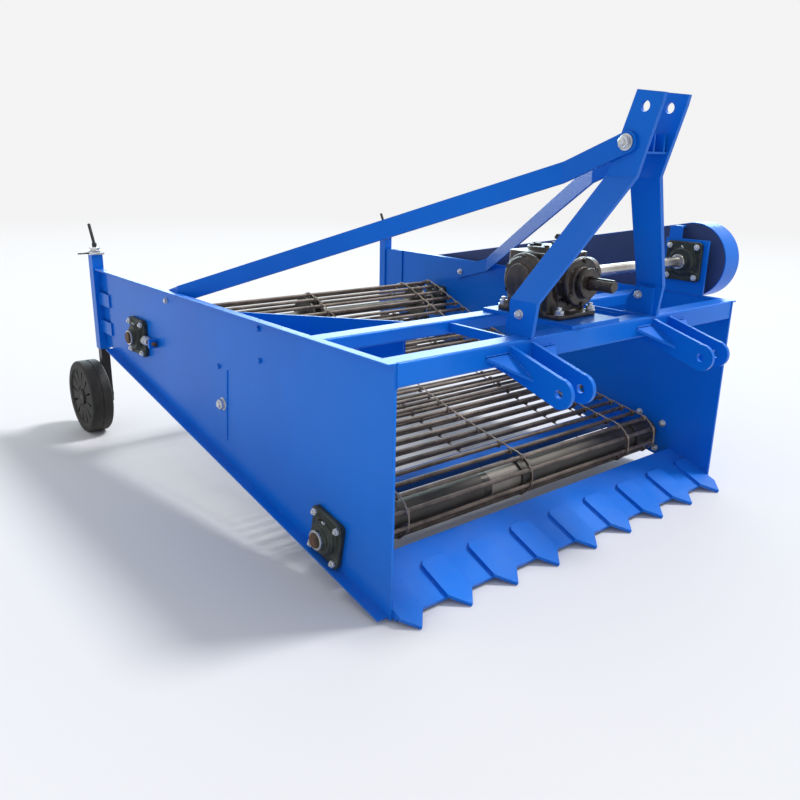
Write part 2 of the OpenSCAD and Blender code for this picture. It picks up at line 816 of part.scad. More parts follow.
// The six-sided rods are turned so that the links rest on their corners
module web() {
  placed() color("dimgray") for (k = [0:rod_count - 1]) {
    p = rod_at(k);
    translate([-rod_len / 2, p[0], p[1]]) rotate([link_angle(k), 0, 0]) rotate([0, 90, 0])
      cylinder(h = rod_len, d = rod_d, $fn = 6);
    for (x = strand_x) translate([x - link_w / 2, 0, 0]) along_x(link_w) link_outline(k);
  }
}

// Rollers and shafts inside the web

disc_w = 12;
disc_off = 22;
disc_x = [-(outer_strand + inner_strand) / 2, -disc_off, disc_off, (outer_strand + inner_strand) / 2];
bearing_reach = bearing_boss_t + 18;

// Tube with raised discs beside the strands of links
module front_roller() {
  placed() color("slategray") translate([0, front_roller_y, front_roller_z]) {
    bar_x(roller_d, -half_in + 12, half_in - 12);
    for (x = disc_x) bar_x(roller_d + 2 * disc_h, x - disc_w / 2, x + disc_w / 2);
    bar_x(web_shaft_d, -half_out - bearing_reach, half_out + bearing_reach);
  }
}

stub_collar_d = 44;
stub_collar_t = 5;
stub_nut_d = 36;
stub_nut_h = 14;
stub_in = outer_strand + link_w / 2 + 8;

// Stub axle through each side plate, with the roller that holds the ends of the rods down
module middle_axle() {
  placed() color("slategray") for (s = [0, 1]) mirror([s, 0, 0]) translate([0, mid_axle_y, mid_axle_z]) {
    bar_x(mid_axle_d, stub_in, half_out + stub_collar_t + 17);
    bar_x(mid_roller_d, stub_in + 2, half_in - 6);
    bar_x(stub_collar_d, half_out, half_out + stub_collar_t);
    translate([half_out + stub_collar_t - 1, 0, 0]) rotate([0, 90, 0]) cylinder(h = stub_nut_h, d = stub_nut_d, $fn = 6);
  }
}

module web_shaft() {
  placed() color("slategray") translate([0, web_shaft_y, web_shaft_z]) {
    bar_x(web_shaft_d, -half_out - bearing_reach, pulley_x + pulley_w + 6);
    for (x = disc_x) bar_x(sprocket_d + 2 * sprocket_rim_h, x - disc_w / 2, x + disc_w / 2);
  }
}

// The front bearings are turned to lie along the bottom edge of the plates
module front_bearings() {
  placed() color(dark) for (s = [0, 1]) mirror([s, 0, 0])
    translate([half_out, front_roller_y, front_roller_z]) rotate([bottom_angle, 0, 0]) flange_bearing(web_shaft_d);
}

module web_shaft_bearings() {
  placed() color(dark) {
    mirrored() translate([half_out, web_shaft_y, web_shaft_z]) flange_bearing(web_shaft_d);
    translate([half_in, web_shaft_y, web_shaft_z]) mirrored() flange_bearing(web_shaft_d);
  }
}

// Long bolts that push the web shaft bearings back and tighten the web
tensioner_d = 14;
tensioner_len = 100;
tensioner_x = 15;
tensioner_play = 0.3;
tensioner_block_t = 12;
tensioner_block_h = 32;
tensioner_block_y = 78;
tensioner_nut_d = 26;
tensioner_nut_t = 12;
tensioner_nut_y = 90;

module tensioners() {
  y0 = web_shaft_y - bearing_side / 2;
  placed() color(steel) mirrored() translate([half_out, 0, web_shaft_z]) {
    translate([0, y0 - tensioner_block_y, -tensioner_block_h / 2])
      cube([2 * tensioner_x, tensioner_block_t, tensioner_block_h]);
    translate([tensioner_x, 0, 0]) bar_y(tensioner_d, y0 - tensioner_len, y0 - tensioner_play);
    translate([tensioner_x, y0 - tensioner_nut_y, 0]) rotate([90, 0, 0])
      cylinder(h = tensioner_nut_t, d = tensioner_nut_d, $fn = 6);
  }
}

// Rear posts, height screws, legs and wheels

post_x = half_out;
post_front = post_y - post_side / 2;
leg_side = post_side - 2 * post_wall - 2 * leg_play;
leg_wall = 4;
leg_top = 600;
leg_foot = 32;
strap_h = 50;
strap_t = 6;
strap_z = [404, 514];
strap_seat = 14;
backing_t = 6;
backing_seat = 40;
backing_top = 1;
wheel_z0 = wheel_d / 2;
cap_t = 10;
cap_side = 54;
stub_h = 48;
stub_d = 18;
crank_len = 84;
crank_d = 11;
crank_lean = 30;
screw_down = 200;

module square_tube(side, wall, z0, z1) {
  translate([-side / 2, -side / 2, z0]) difference() {
    cube([side, side, z1 - z0]);
    translate([wall, wall, -1]) cube([side - 2 * wall, side - 2 * wall, z1 - z0 + 2]);
  }
}

// Square tube behind the side plate, held by a backing plate inside and by two straps outside
module post() {
  color(blue) {
    translate([post_x, post_y, 0]) square_tube(post_side, post_wall, post_bottom, post_top);
    translate([half_in - backing_t, plate_length - backing_seat, rear_clearance])
      cube([backing_t, post_front - plate_length + backing_seat, plate_top - backing_top - rear_clearance]);
    for (z = strap_z)
      translate([half_out, plate_length - strap_seat, z]) cube([strap_t, post_front - plate_length + strap_seat, strap_h]);
  }
}

module post_left() { placed() post(); }
module post_right() { placed() mirrored() post(); }

// Screw through the cap of the post, with its crank
module height_screw() {
  color(steel) translate([post_x, post_y, post_top]) {
    translate([-cap_side / 2, -cap_side / 2, 0]) cube([cap_side, cap_side, cap_t]);
    translate([0, 0, -screw_down]) cylinder(h = screw_down + 1, d = screw_d);
    cylinder(h = stub_h, d = stub_d);
    translate([0, 0, stub_h - crank_d / 2]) rotate([-crank_lean, 0, 0]) cylinder(h = crank_len, d = crank_d);
  }
}

module height_screw_left() { placed() height_screw(); }
module height_screw_right() { placed() mirrored() height_screw(); }

wheel_face_x = half_out + wheel_offset;
axle_end_x = wheel_face_x - 12;

// Sliding leg with the wheel axle welded through its foot
module leg() {
  color("#202020") {
    translate([post_x, post_y, 0]) square_tube(leg_side, leg_wall, wheel_z0 - leg_foot, leg_top);
    translate([0, post_y, wheel_z0]) bar_x(axle_d + 16, post_x - leg_side / 2, wheel_face_x - wheel_w - 5.5);
    translate([0, post_y, wheel_z0]) bar_x(axle_d, post_x, axle_end_x);
  }
}

module leg_left() { placed() leg(); }
module leg_right() { placed() mirrored() leg(); }

axle_play = 0.05;
hub_d = 62;
rim_recess = 12;
tread_h = 26;
tread_edge = 7;

// Solid wheel: a rubber tread with bevelled edges, dished on both faces between the tread and the hub
module wheel() {
  bore_r = axle_d / 2 + axle_play;
  rim_r = wheel_d / 2 - tread_h;
  color("#1a1a1a") translate([wheel_face_x - wheel_w, post_y, wheel_z0]) rotate([90, 0, 90])
    rotate_extrude($fn = 20) polygon([
      [bore_r, 0], [hub_d / 2, 0], [hub_d / 2 + 4, rim_recess], [rim_r - 4, rim_recess], [rim_r, 0],
      [wheel_d / 2 - tread_edge, 0], [wheel_d / 2, tread_edge], [wheel_d / 2, wheel_w - tread_edge],
      [wheel_d / 2 - tread_edge, wheel_w], [rim_r, wheel_w], [rim_r - 4, wheel_w - rim_recess],
      [hub_d / 2 + 4, wheel_w - rim_recess], [hub_d / 2, wheel_w], [bore_r, wheel_w]
    ]);
}

module wheel_left() { placed() wheel(); }
module wheel_right() { placed() mirrored() wheel(); }

side_plate_right();
side_plate_left();
front_beam();
second_beam();
frame_rails();
gearbox_plate();
deflector_right();
deflector_left();
cross_angle();
share_plate();
share_teeth();
hitch_lugs_right();
hitch_lugs_left();
mast_leg_right();
mast_leg_left();
mast_brackets();
mast_spacer();
mast_bolt();
brace_right();
brace_left();
gearbox();
input_shaft();
cross_shaft();
bearing_plate();
cross_shaft_bearing();
belt_guard();
small_pulley();
large_pulley();
drive_belts();
front_roller();
front_bearings();
middle_axle();
web_shaft();
web_shaft_bearings();
web();
tensioners();
post_right();
post_left();
height_screw_right();
height_screw_left();
leg_right();
leg_left();
wheel_right();
wheel_left();
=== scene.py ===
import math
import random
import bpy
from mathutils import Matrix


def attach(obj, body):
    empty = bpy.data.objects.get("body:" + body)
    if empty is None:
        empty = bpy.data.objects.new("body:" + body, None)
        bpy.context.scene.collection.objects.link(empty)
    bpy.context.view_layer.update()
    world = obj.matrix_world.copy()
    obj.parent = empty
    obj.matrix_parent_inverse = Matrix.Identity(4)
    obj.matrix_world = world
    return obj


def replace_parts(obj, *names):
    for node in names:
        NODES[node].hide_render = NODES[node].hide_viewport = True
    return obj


bl_info = {
    "name": "Chain Potato Digger",
    "version": (1, 0, 0),
    "blender": (4, 5, 0),
    "location": "3D View > Sidebar > Digger",
    "description": "Web, fasteners, welds, castings and finishes on the frame of a potato digger",
    "category": "Add Mesh",
}

import bpy
from bpy.props import FloatProperty, FloatVectorProperty, IntProperty, PointerProperty
from mathutils import Matrix, Vector

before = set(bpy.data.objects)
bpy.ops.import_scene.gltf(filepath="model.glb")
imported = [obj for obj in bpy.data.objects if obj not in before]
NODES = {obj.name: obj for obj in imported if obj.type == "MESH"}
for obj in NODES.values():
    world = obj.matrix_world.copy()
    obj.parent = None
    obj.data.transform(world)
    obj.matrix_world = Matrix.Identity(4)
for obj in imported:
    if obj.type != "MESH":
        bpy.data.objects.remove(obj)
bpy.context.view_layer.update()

# The frame's origin lies this far behind the front edge of the side plates
FRONT_TO_ORIGIN = 0.8985

# Sizes in millimetres: x from the middle, y from the front edge of the side plates, z up
HALF_OUTSIDE = 725
HALF_INSIDE = 717

# Axes that run across the machine, as (y, z)
FRONT_ROLLER = (258, 135)
WEB_SHAFT = (1451, 455)
CROSS_SHAFT = (190, 768)
STUB_AXLE = (829, 355)
WHEEL_AXLE = (1855, 145)
POST_Y = WHEEL_AXLE[0]


def spot(x, y, z):
    """A point given in millimetres as above, in the frame's metres."""
    return Vector((x / 1000, y / 1000 - FRONT_TO_ORIGIN, z / 1000))


# Selecting and editing


def deselect():
    if bpy.context.object and bpy.context.object.mode != "OBJECT":
        bpy.ops.object.mode_set(mode="OBJECT")
    bpy.ops.object.select_all(action="DESELECT")


def only(*objects):
    """Selects just these objects, and makes the first one active."""
    deselect()
    for obj in objects:
        obj.select_set(True)
    bpy.context.view_layer.objects.active = objects[0]


def apply_place():
    bpy.ops.object.transform_apply(location=True, rotation=True, scale=True)


def pick_faces(obj, test):
    """Edits obj with just the faces selected whose centre and normal pass the test."""
    only(obj)
    bpy.ops.object.mode_set(mode="EDIT")
    bpy.ops.mesh.select_mode(type="FACE")
    bpy.ops.mesh.select_all(action="DESELECT")
    done(obj)
    for face in obj.data.polygons:
        face.select = test(face.center, face.normal)
    bpy.ops.object.mode_set(mode="EDIT")


def done(obj):
    """Leaves edit mode."""
    bpy.ops.object.mode_set(mode="OBJECT")
    return obj


def modifier(obj, kind, **values):
    only(obj)
    mod = obj.modifiers.new(kind.title(), kind)
    for key, value in values.items():
        setattr(mod, key, value)
    bpy.ops.object.modifier_apply(modifier=mod.name)
    return obj


def bevel(obj, width, segments=2, angle=30):
    return modifier(obj, "BEVEL", width=width, segments=segments, limit_method="ANGLE",
                    angle_limit=math.radians(angle))


def smooth(obj, angle=35):
    only(obj)
    bpy.ops.object.shade_smooth_by_angle(angle=math.radians(angle))
    return obj


def settle(obj, name, material, body="frame"):
    """Applies a finished piece's place and gives it a name, a finish and the body it rides on."""
    only(obj)
    apply_place()
    obj.name = name
    obj.data.name = name
    obj.data.materials.clear()
    obj.data.materials.append(MATERIALS[material])
    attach(obj, body)
    return obj


def double(master, place):
    """Copy of an object, with its own mesh, at a matrix."""
    copy = master.copy()
    copy.data = master.data.copy()
    bpy.context.collection.objects.link(copy)
    copy.matrix_world = place
    return copy


def new_object(name, data):
    obj = bpy.data.objects.new(name, data)
    bpy.context.collection.objects.link(obj)
    return obj


def discard(obj):
    mesh = obj.data
    bpy.data.objects.remove(obj)
    bpy.data.meshes.remove(mesh)


def join(pieces):
    only(*pieces)
    bpy.ops.object.join()
    return bpy.context.object


def spread(master, places):
    """Copies a master to a list of matrices, joins the copies and drops the master."""
    copies = [double(master, place) for place in places]
    only(*copies)
    apply_place()
    discard(master)
    return join(copies)


def towards(direction, twist=0.0):
    """Rotation that turns +Z to a direction, after a twist about +Z."""
    turn = Vector(direction).to_track_quat("Z", "Y").to_matrix().to_4x4()
    return turn @ Matrix.Rotation(twist, 4, "Z")


def at(point, direction=(0, 0, 1), twist=0.0):
    return Matrix.Translation(point) @ towards(direction, twist)


def cylinder(radius, depth, vertices=24, base=0.0):
    """Cylinder along +Z that starts at z = base."""
    deselect()
    bpy.ops.mesh.primitive_cylinder_add(vertices=vertices, radius=radius, depth=depth,
                                        location=(0, 0, base + depth / 2))
    apply_place()
    return bpy.context.object


def line(points, closed=False):
    """Draws edges through points and stays in edit mode. A closed chain gets its face."""
    deselect()
    bpy.ops.mesh.primitive_plane_add(size=1, location=(0, 0, 0))
    obj = bpy.context.object
    bpy.ops.object.mode_set(mode="EDIT")
    bpy.ops.mesh.select_mode(type="VERT")
    bpy.ops.mesh.select_all(action="SELECT")
    bpy.ops.mesh.merge(type="CENTER")
    bpy.ops.transform.translate(value=Vector(points[0]))
    for a, b in zip(points, points[1:]):
        step = Vector(b) - Vector(a)
        bpy.ops.mesh.extrude_vertices_move(TRANSFORM_OT_translate={"value": step})
    if closed:
        bpy.ops.mesh.select_all(action="SELECT")
        bpy.ops.mesh.edge_face_add()
    return obj


def tidy(obj):
    """Merges doubles and turns all faces outwards."""
    only(obj)
    bpy.ops.object.mode_set(mode="EDIT")
    bpy.ops.mesh.select_all(action="SELECT")
    bpy.ops.mesh.remove_doubles(threshold=0.00002)
    bpy.ops.mesh.normals_make_consistent(inside=False)
    return done(obj)


def slab(points, thickness):
    """Flat outline pulled into a plate along a vector."""
    obj = line(points, closed=True)
    bpy.ops.mesh.extrude_region_move(TRANSFORM_OT_translate={"value": Vector(thickness)})
    return tidy(done(obj))


def box(xs, ys, zs):
    """Block between two places in millimetres along each axis."""
    (x0, x1), (y0, y1), (z0, z1) = xs, ys, zs
    outline = [spot(x0, y0, z0), spot(x1, y0, z0), spot(x1, y1, z0), spot(x0, y1, z0)]
    return slab(outline, (0, 0, (z1 - z0) / 1000))


def tube(points, radius, resolution=1):
    """Round bar along a chain of points, with 4 + 2 x resolution sides."""
    obj = done(line(points))
    bpy.ops.object.convert(target="CURVE")
    curve = bpy.context.object.data
    curve.bevel_depth = radius
    curve.bevel_resolution = resolution
    curve.use_fill_caps = True
    bpy.ops.object.convert(target="MESH")
    return tidy(bpy.context.object)


def lathe(profile, steps=32):
    """Shape turned about Z from (radius, height) points in metres."""
    obj = line([(r, 0, z) for r, z in profile])
    bpy.ops.mesh.select_all(action="SELECT")
    bpy.ops.mesh.spin(steps=steps, angle=math.tau, center=(0, 0, 0), axis=(0, 0, 1))
    return tidy(done(obj))


def softened(name, extras, voxel, rounds):
    """Copy of a frame part, fused with extra shapes and rounded off all over like a casting."""
    obj = tidy(new_object("casting", NODES[name].data.copy()))
    obj = join([obj] + extras)
    modifier(obj, "REMESH", mode="VOXEL", voxel_size=voxel)
    modifier(obj, "SMOOTH", factor=0.5, iterations=rounds)
    return smooth(obj, 60)


# Finishes


def group(name, inputs, outputs):
    """Node group with float inputs and their defaults, and outputs with their kind."""
    tree = bpy.data.node_groups.new(name, "ShaderNodeTree")
    for label, default in inputs.items():
        socket = tree.interface.new_socket(label, in_out="INPUT", socket_type="NodeSocketFloat")
        socket.default_value = default
    for label, kind in outputs.items():
        tree.interface.new_socket(label, in_out="OUTPUT", socket_type="NodeSocket" + kind)
    ends = tree.nodes.new("NodeGroupInput"), tree.nodes.new("NodeGroupOutput")
    return tree, ends[0].outputs, ends[1].inputs


def node(tree, kind, links=None, **values):
    """Adds a node, sets its attributes and links or fills its sockets by name or number."""
    made = tree.nodes.new(kind)
    for key, value in values.items():
        setattr(made, key, value)
    for key, value in (links or {}).items():
        socket = made.inputs[key]
        if isinstance(value, bpy.types.NodeSocket):
            tree.links.new(value, socket)
        else:
            socket.default_value = value
    return made


def math_node(tree, operation, a, b=0.0, clamp=False):
    made = node(tree, "ShaderNodeMath", {0: a, 1: b}, operation=operation, use_clamp=clamp)
    return made.outputs[0]


def ramp(tree, value, low, high, **values):
    """Maps low to 0 and high to 1."""
    return node(tree, "ShaderNodeMapRange", {0: value, 1: low, 2: high}, **values).outputs[0]


def noise(tree, scale, detail, roughness=0.5):
    """Noise over the object's own space."""
    place = node(tree, "ShaderNodeTexCoord").outputs["Object"]
    links = {"Vector": place, "Scale": scale, "Detail": detail, "Roughness": roughness}
    return node(tree, "ShaderNodeTexNoise", links).outputs[0]


def make_edge_group():
    """Mask of worn edges, and a normal that rounds sharp edges."""
    tree, ins, outs = group("Worn Edges", {"Radius": 0.002, "Wear": 0.5, "Chip Size": 60.0},
                            {"Mask": "Float", "Normal": "Vector"})
    rounded = node(tree, "ShaderNodeBevel", {"Radius": ins["Radius"]}, samples=4).outputs[0]
    flat = node(tree, "ShaderNodeNewGeometry").outputs["True Normal"]
    same = node(tree, "ShaderNodeVectorMath", {0: rounded, 1: flat}, operation="DOT_PRODUCT")
    away = math_node(tree, "SUBTRACT", 1.0, same.outputs["Value"])
    edge = math_node(tree, "MULTIPLY", away, 6.0, clamp=True)
    chips = ramp(tree, noise(tree, ins["Chip Size"], 6.0), 0.52, 0.62)
    chipped = math_node(tree, "MULTIPLY", edge, chips)
    mask = math_node(tree, "MULTIPLY", chipped, ins["Wear"], clamp=True)
    tree.links.new(mask, outs["Mask"])
    tree.links.new(rounded, outs["Normal"])
    return tree


def make_dust_group():
    """Mask of dust that lies on what faces up and gathers low down."""
    tree, ins, outs = group("Yard Dust", {"Amount": 0.3, "Patch Size": 4.0}, {"Mask": "Float"})
    normal = node(tree, "ShaderNodeNewGeometry").outputs["Normal"]
    up = ramp(tree, node(tree, "ShaderNodeSeparateXYZ", {0: normal}).outputs["Z"], -0.1, 1.0)
    place = node(tree, "ShaderNodeTexCoord").outputs["Object"]
    low = ramp(tree, node(tree, "ShaderNodeSeparateXYZ", {0: place}).outputs["Z"], 0.35, 0.0)
    patches = ramp(tree, noise(tree, ins["Patch Size"], 8.0, 0.65), 0.38, 0.72)
    settled = math_node(tree, "MULTIPLY", math_node(tree, "ADD", up, low), patches)
    mask = math_node(tree, "MULTIPLY", settled, ins["Amount"], clamp=True)
    tree.links.new(mask, outs["Mask"])
    return tree


def make_grain_group():
    """Fine and broad noise, for the bump and for the colour."""
    tree, ins, outs = group("Surface Grain", {"Fine Size": 300.0, "Broad Size": 3.0},
                            {"Fine": "Float", "Broad": "Float"})
    tree.links.new(noise(tree, ins["Fine Size"], 3.0), outs["Fine"])
    tree.links.new(noise(tree, ins["Broad Size"], 5.0), outs["Broad"])
    return tree


GROUPS = {}
MATERIALS = {}


def colour(r, g, b):
    """An sRGB colour in 0 to 255 as the linear colour of a socket."""
    def linear(v):
        v /= 255
        return v / 12.92 if v <= 0.04045 else ((v + 0.055) / 1.055) ** 2.4
    return (linear(r), linear(g), linear(b), 1.0)


def use(tree, name, values):
    return node(tree, "ShaderNodeGroup", values, node_tree=GROUPS[name]).outputs


def mix(tree, factor, a, b):
    """Blend of two colours. A mix node's colours are its sockets 6 and 7."""
    return node(tree, "ShaderNodeMix", {0: factor, 6: a, 7: b}, data_type="RGBA").outputs[2]


def finish(name, base, dark, bare, roughness, metallic, wear, edge, dust, grain, bump, broad,
           coat=0.0, specular=0.5, tint=(255, 255, 255)):
    """Finish of a surface: two tones of its own colour, bare worn edges, dust and grain."""
    mat = bpy.data.materials.new(name)
    mat.use_nodes = True
    tree = mat.node_tree
    shader = tree.nodes["Principled BSDF"]
    edges = use(tree, "Worn Edges", {"Radius": edge / 1000, "Wear": wear})
    dusty = use(tree, "Yard Dust", {"Amount": dust})
    surface = use(tree, "Surface Grain", {"Fine Size": grain, "Broad Size": broad})
    tone = mix(tree, ramp(tree, surface["Broad"], 0.35, 0.65), dark, base)
    tone = mix(tree, edges["Mask"], tone, bare)
    tone = mix(tree, dusty["Mask"], tone, colour(150, 140, 125))
    tree.links.new(tone, shader.inputs["Base Color"])
    patchy = math_node(tree, "MULTIPLY", surface["Broad"], 0.12)
    rough = math_node(tree, "ADD", roughness - 0.06, patchy)
    dulled = math_node(tree, "MULTIPLY", dusty["Mask"], 0.45)
    rough = math_node(tree, "ADD", rough, dulled, clamp=True)
    bared = math_node(tree, "MULTIPLY", edges["Mask"], 0.45 - roughness)
    rough = math_node(tree, "ADD", rough, bared, clamp=True)
    tree.links.new(rough, shader.inputs["Roughness"])
    for socket, value in (("Metallic", metallic), ("Specular IOR Level", specular),
                          ("Specular Tint", colour(*tint)), ("Coat Weight", coat),
                          ("Coat Roughness", 0.12)):
        shader.inputs[socket].default_value = value
    height = node(tree, "ShaderNodeBump", {"Strength": bump, "Distance": 0.001,
                                           "Height": surface["Fine"], "Normal": edges["Normal"]})
    tree.links.new(height.outputs[0], shader.inputs["Normal"])
    MATERIALS[name] = mat


class FinishSettings(bpy.types.PropertyGroup):
    paint: FloatVectorProperty(
        name="Paint", description="Colour of the enamel on the frame", subtype="COLOR", size=4,
        min=0, max=1, default=colour(8, 110, 218))
    paint_shade: FloatVectorProperty(
        name="Paint Shade", description="Darker tone of the enamel", subtype="COLOR", size=4,
        min=0, max=1, default=colour(6, 99, 204))
    steel: FloatVectorProperty(
        name="Rolled Steel", description="Colour of the rods of the web", subtype="COLOR",
        size=4, min=0, max=1, default=colour(122, 108, 97))


# Columns: base, darker tone and bare edges in sRGB, roughness, metallic, wear, rounding of the
# edges in millimetres, dust, fineness of the grain, bump, fineness of the tones, coat, specular
FINISHES = {
    "Hook Steel": ((168, 152, 138), (118, 104, 92), (210, 204, 196),
                   0.45, 0.5, 0.6, 0.8, 0.1, 700, 0.15, 18),
    "Oily Steel": ((64, 58, 52), (30, 28, 27), (140, 136, 128),
                   0.34, 0.5, 0.5, 0.6, 0.1, 500, 0.2, 30),
    "Roller Steel": ((86, 84, 78), (54, 50, 46), (150, 150, 146),
                     0.5, 0.55, 0.6, 1.5, 0.2, 400, 0.2, 6),
    "Pale Roller": ((150, 144, 133), (116, 110, 100), (160, 158, 152),
                    0.5, 0.4, 0.5, 1.5, 0.2, 400, 0.2, 8),
    "Zinc": ((226, 228, 230), (196, 198, 200), (235, 235, 235),
             0.3, 0.7, 0.2, 0.6, 0.1, 900, 0.1, 40),
    "Bright Shaft": ((206, 204, 200), (168, 164, 158), (225, 225, 225),
                     0.28, 0.9, 0.1, 1.5, 0.1, 700, 0.12, 12),
    "Rusty Steel": ((122, 88, 64), (62, 46, 38), (150, 140, 130),
                    0.6, 0.3, 0.3, 1.5, 0.1, 420, 0.3, 45),
    "Dark Casting": ((50, 60, 54), (30, 36, 34), (120, 125, 124),
                     0.48, 0.2, 0.5, 1.5, 0.15, 260, 0.35, 20),
    "Oily Casting": ((72, 62, 54), (26, 24, 23), (150, 138, 124),
                     0.38, 0.35, 0.9, 2, 0.12, 180, 0.5, 24, 0.3),
    "Pulley Iron": ((70, 72, 74), (52, 52, 54), (150, 150, 150),
                    0.4, 0.7, 0.5, 1.5, 0.25, 300, 0.2, 10),
    "Belt Rubber": ((24, 24, 25), (16, 16, 17), (52, 52, 52),
                    0.7, 0, 0.3, 1.5, 0.25, 600, 0.3, 30),
    "Black Paint": ((26, 27, 29), (18, 18, 20), (86, 88, 92),
                    0.38, 0, 0.5, 1.5, 0.2, 240, 0.12, 6),
    # Dark navy for the plate that paints the shade inside the belt guard
    "Painted Shade Navy": ((48, 68, 116), (40, 58, 102), (70, 90, 130),
                   0.6, 0, 0.2, 1.5, 0.1, 240, 0.1, 4),
    "Wheel Rubber": ((28, 29, 28), (19, 20, 20), (84, 84, 80),
                     0.6, 0, 0.4, 2, 0.22, 260, 0.25, 10, 0, 0.35),
}

# Parts of the frame that aren't blue, by finish
WORN_BY = {
    "Oily Casting": ("gearbox", "input_shaft"), "Bright Shaft": ("cross_shaft",),
    "Dark Casting": ("cross_shaft_bearing", "front_bearings", "web_shaft_bearings"),
    "Pulley Iron": ("small_pulley", "large_pulley"), "Belt Rubber": ("drive_belts",),
    "Web Steel": ("web",), "Roller Steel": ("front_roller", "middle_axle", "web_shaft"),
    "Zinc": ("mast_bolt", "tensioners", "height_screw_right", "height_screw_left"),
    "Black Paint": ("leg_right", "leg_left"), "Wheel Rubber": ("wheel_right", "wheel_left"),
}


class DIGGER_OT_finishes(bpy.types.Operator):
    """Make the finishes and give one to every part of the frame"""
    bl_idname = "digger.finishes"
    bl_label = "Finishes"

    def execute(self, context):
        s = context.scene.digger_finishes
        GROUPS["Worn Edges"] = make_edge_group()
        GROUPS["Yard Dust"] = make_dust_group()
        GROUPS["Surface Grain"] = make_grain_group()
        finish("Blue Enamel", tuple(s.paint), tuple(s.paint_shade), colour(120, 165, 225),
               0.36, 0, 0.4, 2, 0.06, 220, 0.06, 2.2, 0.12, 0.3, (120, 205, 255))
        finish("Web Steel", tuple(s.steel), colour(80, 68, 60), colour(170, 158, 146),
               0.55, 0.3, 0.7, 1, 0.2, 500, 0.25, 14)
        for name, (base, dark, bare, *values) in FINISHES.items():
            finish(name, colour(*base), colour(*dark), colour(*bare), *values)
        wearing = {part: name for name, parts in WORN_BY.items() for part in parts}
        for part, obj in NODES.items():
            obj.data.materials.clear()
            obj.data.materials.append(MATERIALS[wearing.get(part, "Blue Enamel")])
        return {"FINISHED"}


# Web

ROD_RADIUS = 0.007
ROD_LENGTH = 1.35

# Middles of the rows of hook links across the web
STRANDS = (-0.66, -0.505, 0.0, 0.505, 0.66)

# Guides of the web as (y, z, radius to the middle of the rods), and how far a run sags
GUIDES = ((*FRONT_ROLLER, 60), (STUB_AXLE[0], 331.5, 0), (*WEB_SHAFT, 83.5))
SAG = 14


def run_between(i, j):
    """Outward direction in radians and length of the straight run from guide i to guide j."""
    dy, dz, dr = (GUIDES[j][k] - GUIDES[i][k] for k in range(3))
    span = math.hypot(dy, dz)
    return math.atan2(dz, dy) + math.acos(-dr / span), math.sqrt(span * span - dr * dr)


def web_places(pitch):
    """Middle of every rod as (y, z)."""
    n01, run01 = run_between(0, 1)
    n12, run12 = run_between(1, 2)
    n20, run20 = run_between(2, 0)
    arc0 = (n20 + math.tau - n01) * GUIDES[0][2]
    arc2 = (n12 - n20) * GUIDES[2][2]
    total = run01 + run12 + arc2 + run20 + arc0
    count = round(total / pitch)

    def on(i, angle):
        y, z, radius = GUIDES[i]
        return Vector((y + radius * math.cos(angle), z + radius * math.sin(angle)))

    def hanging(p, q, f):
        return p.lerp(q, f) - Vector((0, 4 * SAG * f * (1 - f)))

    places = []
    for k in range(count):
        s = k * total / count
        if s < run01:
            places.append(hanging(on(0, n01), on(1, n01), s / run01))
        elif s < run01 + run12:
            places.append(hanging(on(1, n12), on(2, n12), (s - run01) / run12))
        elif s < run01 + run12 + arc2:
            places.append(on(2, n12 - (s - run01 - run12) / GUIDES[2][2]))
        elif s < total - arc0:
            places.append(on(2, n20).lerp(on(0, n20), (s - run01 - run12 - arc2) / run20))
        else:
            places.append(on(0, n20 - (s - total + arc0) / GUIDES[0][2]))
    return places


class WebSettings(bpy.types.PropertyGroup):
    pitch: FloatProperty(
        name="Rod Pitch", description="Spacing of the rods along the web in millimetres",
        default=50, min=42, max=60)
    wire: FloatProperty(
        name="Hook Thickness", description="Thickness of the wire of the hook links",
        default=0.0027, unit="LENGTH", min=0.002, max=0.004)


def hook_path(span, wire):
    """Wire of a link: an eye round its own rod, a straight run and a hook on the next rod."""
    curl = ROD_RADIUS + wire

    def around(x, y, degrees):
        angle = math.radians(degrees)
        return (x, y + curl * math.cos(angle), curl * math.sin(angle))

    path = [around(-2.1 * wire, 0, degrees) for degrees in (-60, -110, -160, -210, -255)]
    path += [(-1.6 * wire, 0.0065, curl), (0, 0.0135, curl)]
    return path + [around(0, span, degrees) for degrees in (90, 45, 0, -45, -95, -140)]


class DIGGER_OT_web(bpy.types.Operator):
    """Build the web: round rods, hooked to each other by bent wire links on five strands"""
    bl_idname = "digger.web"
    bl_label = "Web"

    def execute(self, context):
        s = context.scene.digger_web
        places = [spot(0, y, z) for y, z in web_places(s.pitch)]
        rng = random.Random(4)
        end = ROD_LENGTH / 2
        rod = tube([(x, 0, 0) for x in (-end, -0.34, 0, 0.34, end)], ROD_RADIUS, 2)
        pick_faces(rod, lambda c, n: abs(n.x) > 0.9)
        bpy.ops.mesh.bevel(offset=0.0012, segments=1, affect="EDGES")
        smooth(done(rod), 50)
        laid = []
        for p in places:
            uneven = Vector((0, 0, rng.uniform(-0.0008, 0.0008)))
            turn = Matrix.Rotation(rng.uniform(0, math.tau), 4, "X")
            laid.append(Matrix.Translation(p + uneven) @ turn)
        rods = settle(spread(rod, laid), "web_rods", "Web Steel")
        span = (places[1] - places[0]).length
        link = smooth(tube(hook_path(span, s.wire), s.wire, 0), 60)
        laid = []
        for k, p in enumerate(places):
            q = places[(k + 1) % len(places)]
            turn = Matrix.Rotation(math.atan2(q.z - p.z, q.y - p.y), 4, "X")
            laid += [Matrix.Translation(p + Vector((x, 0, 0))) @ turn for x in STRANDS]
        links = settle(spread(link, laid), "web_hook_links", "Hook Steel")
        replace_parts(rods, "web")
        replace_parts(links, "web")
        return {"FINISHED"}


# Fasteners

WASHER = 0.0025


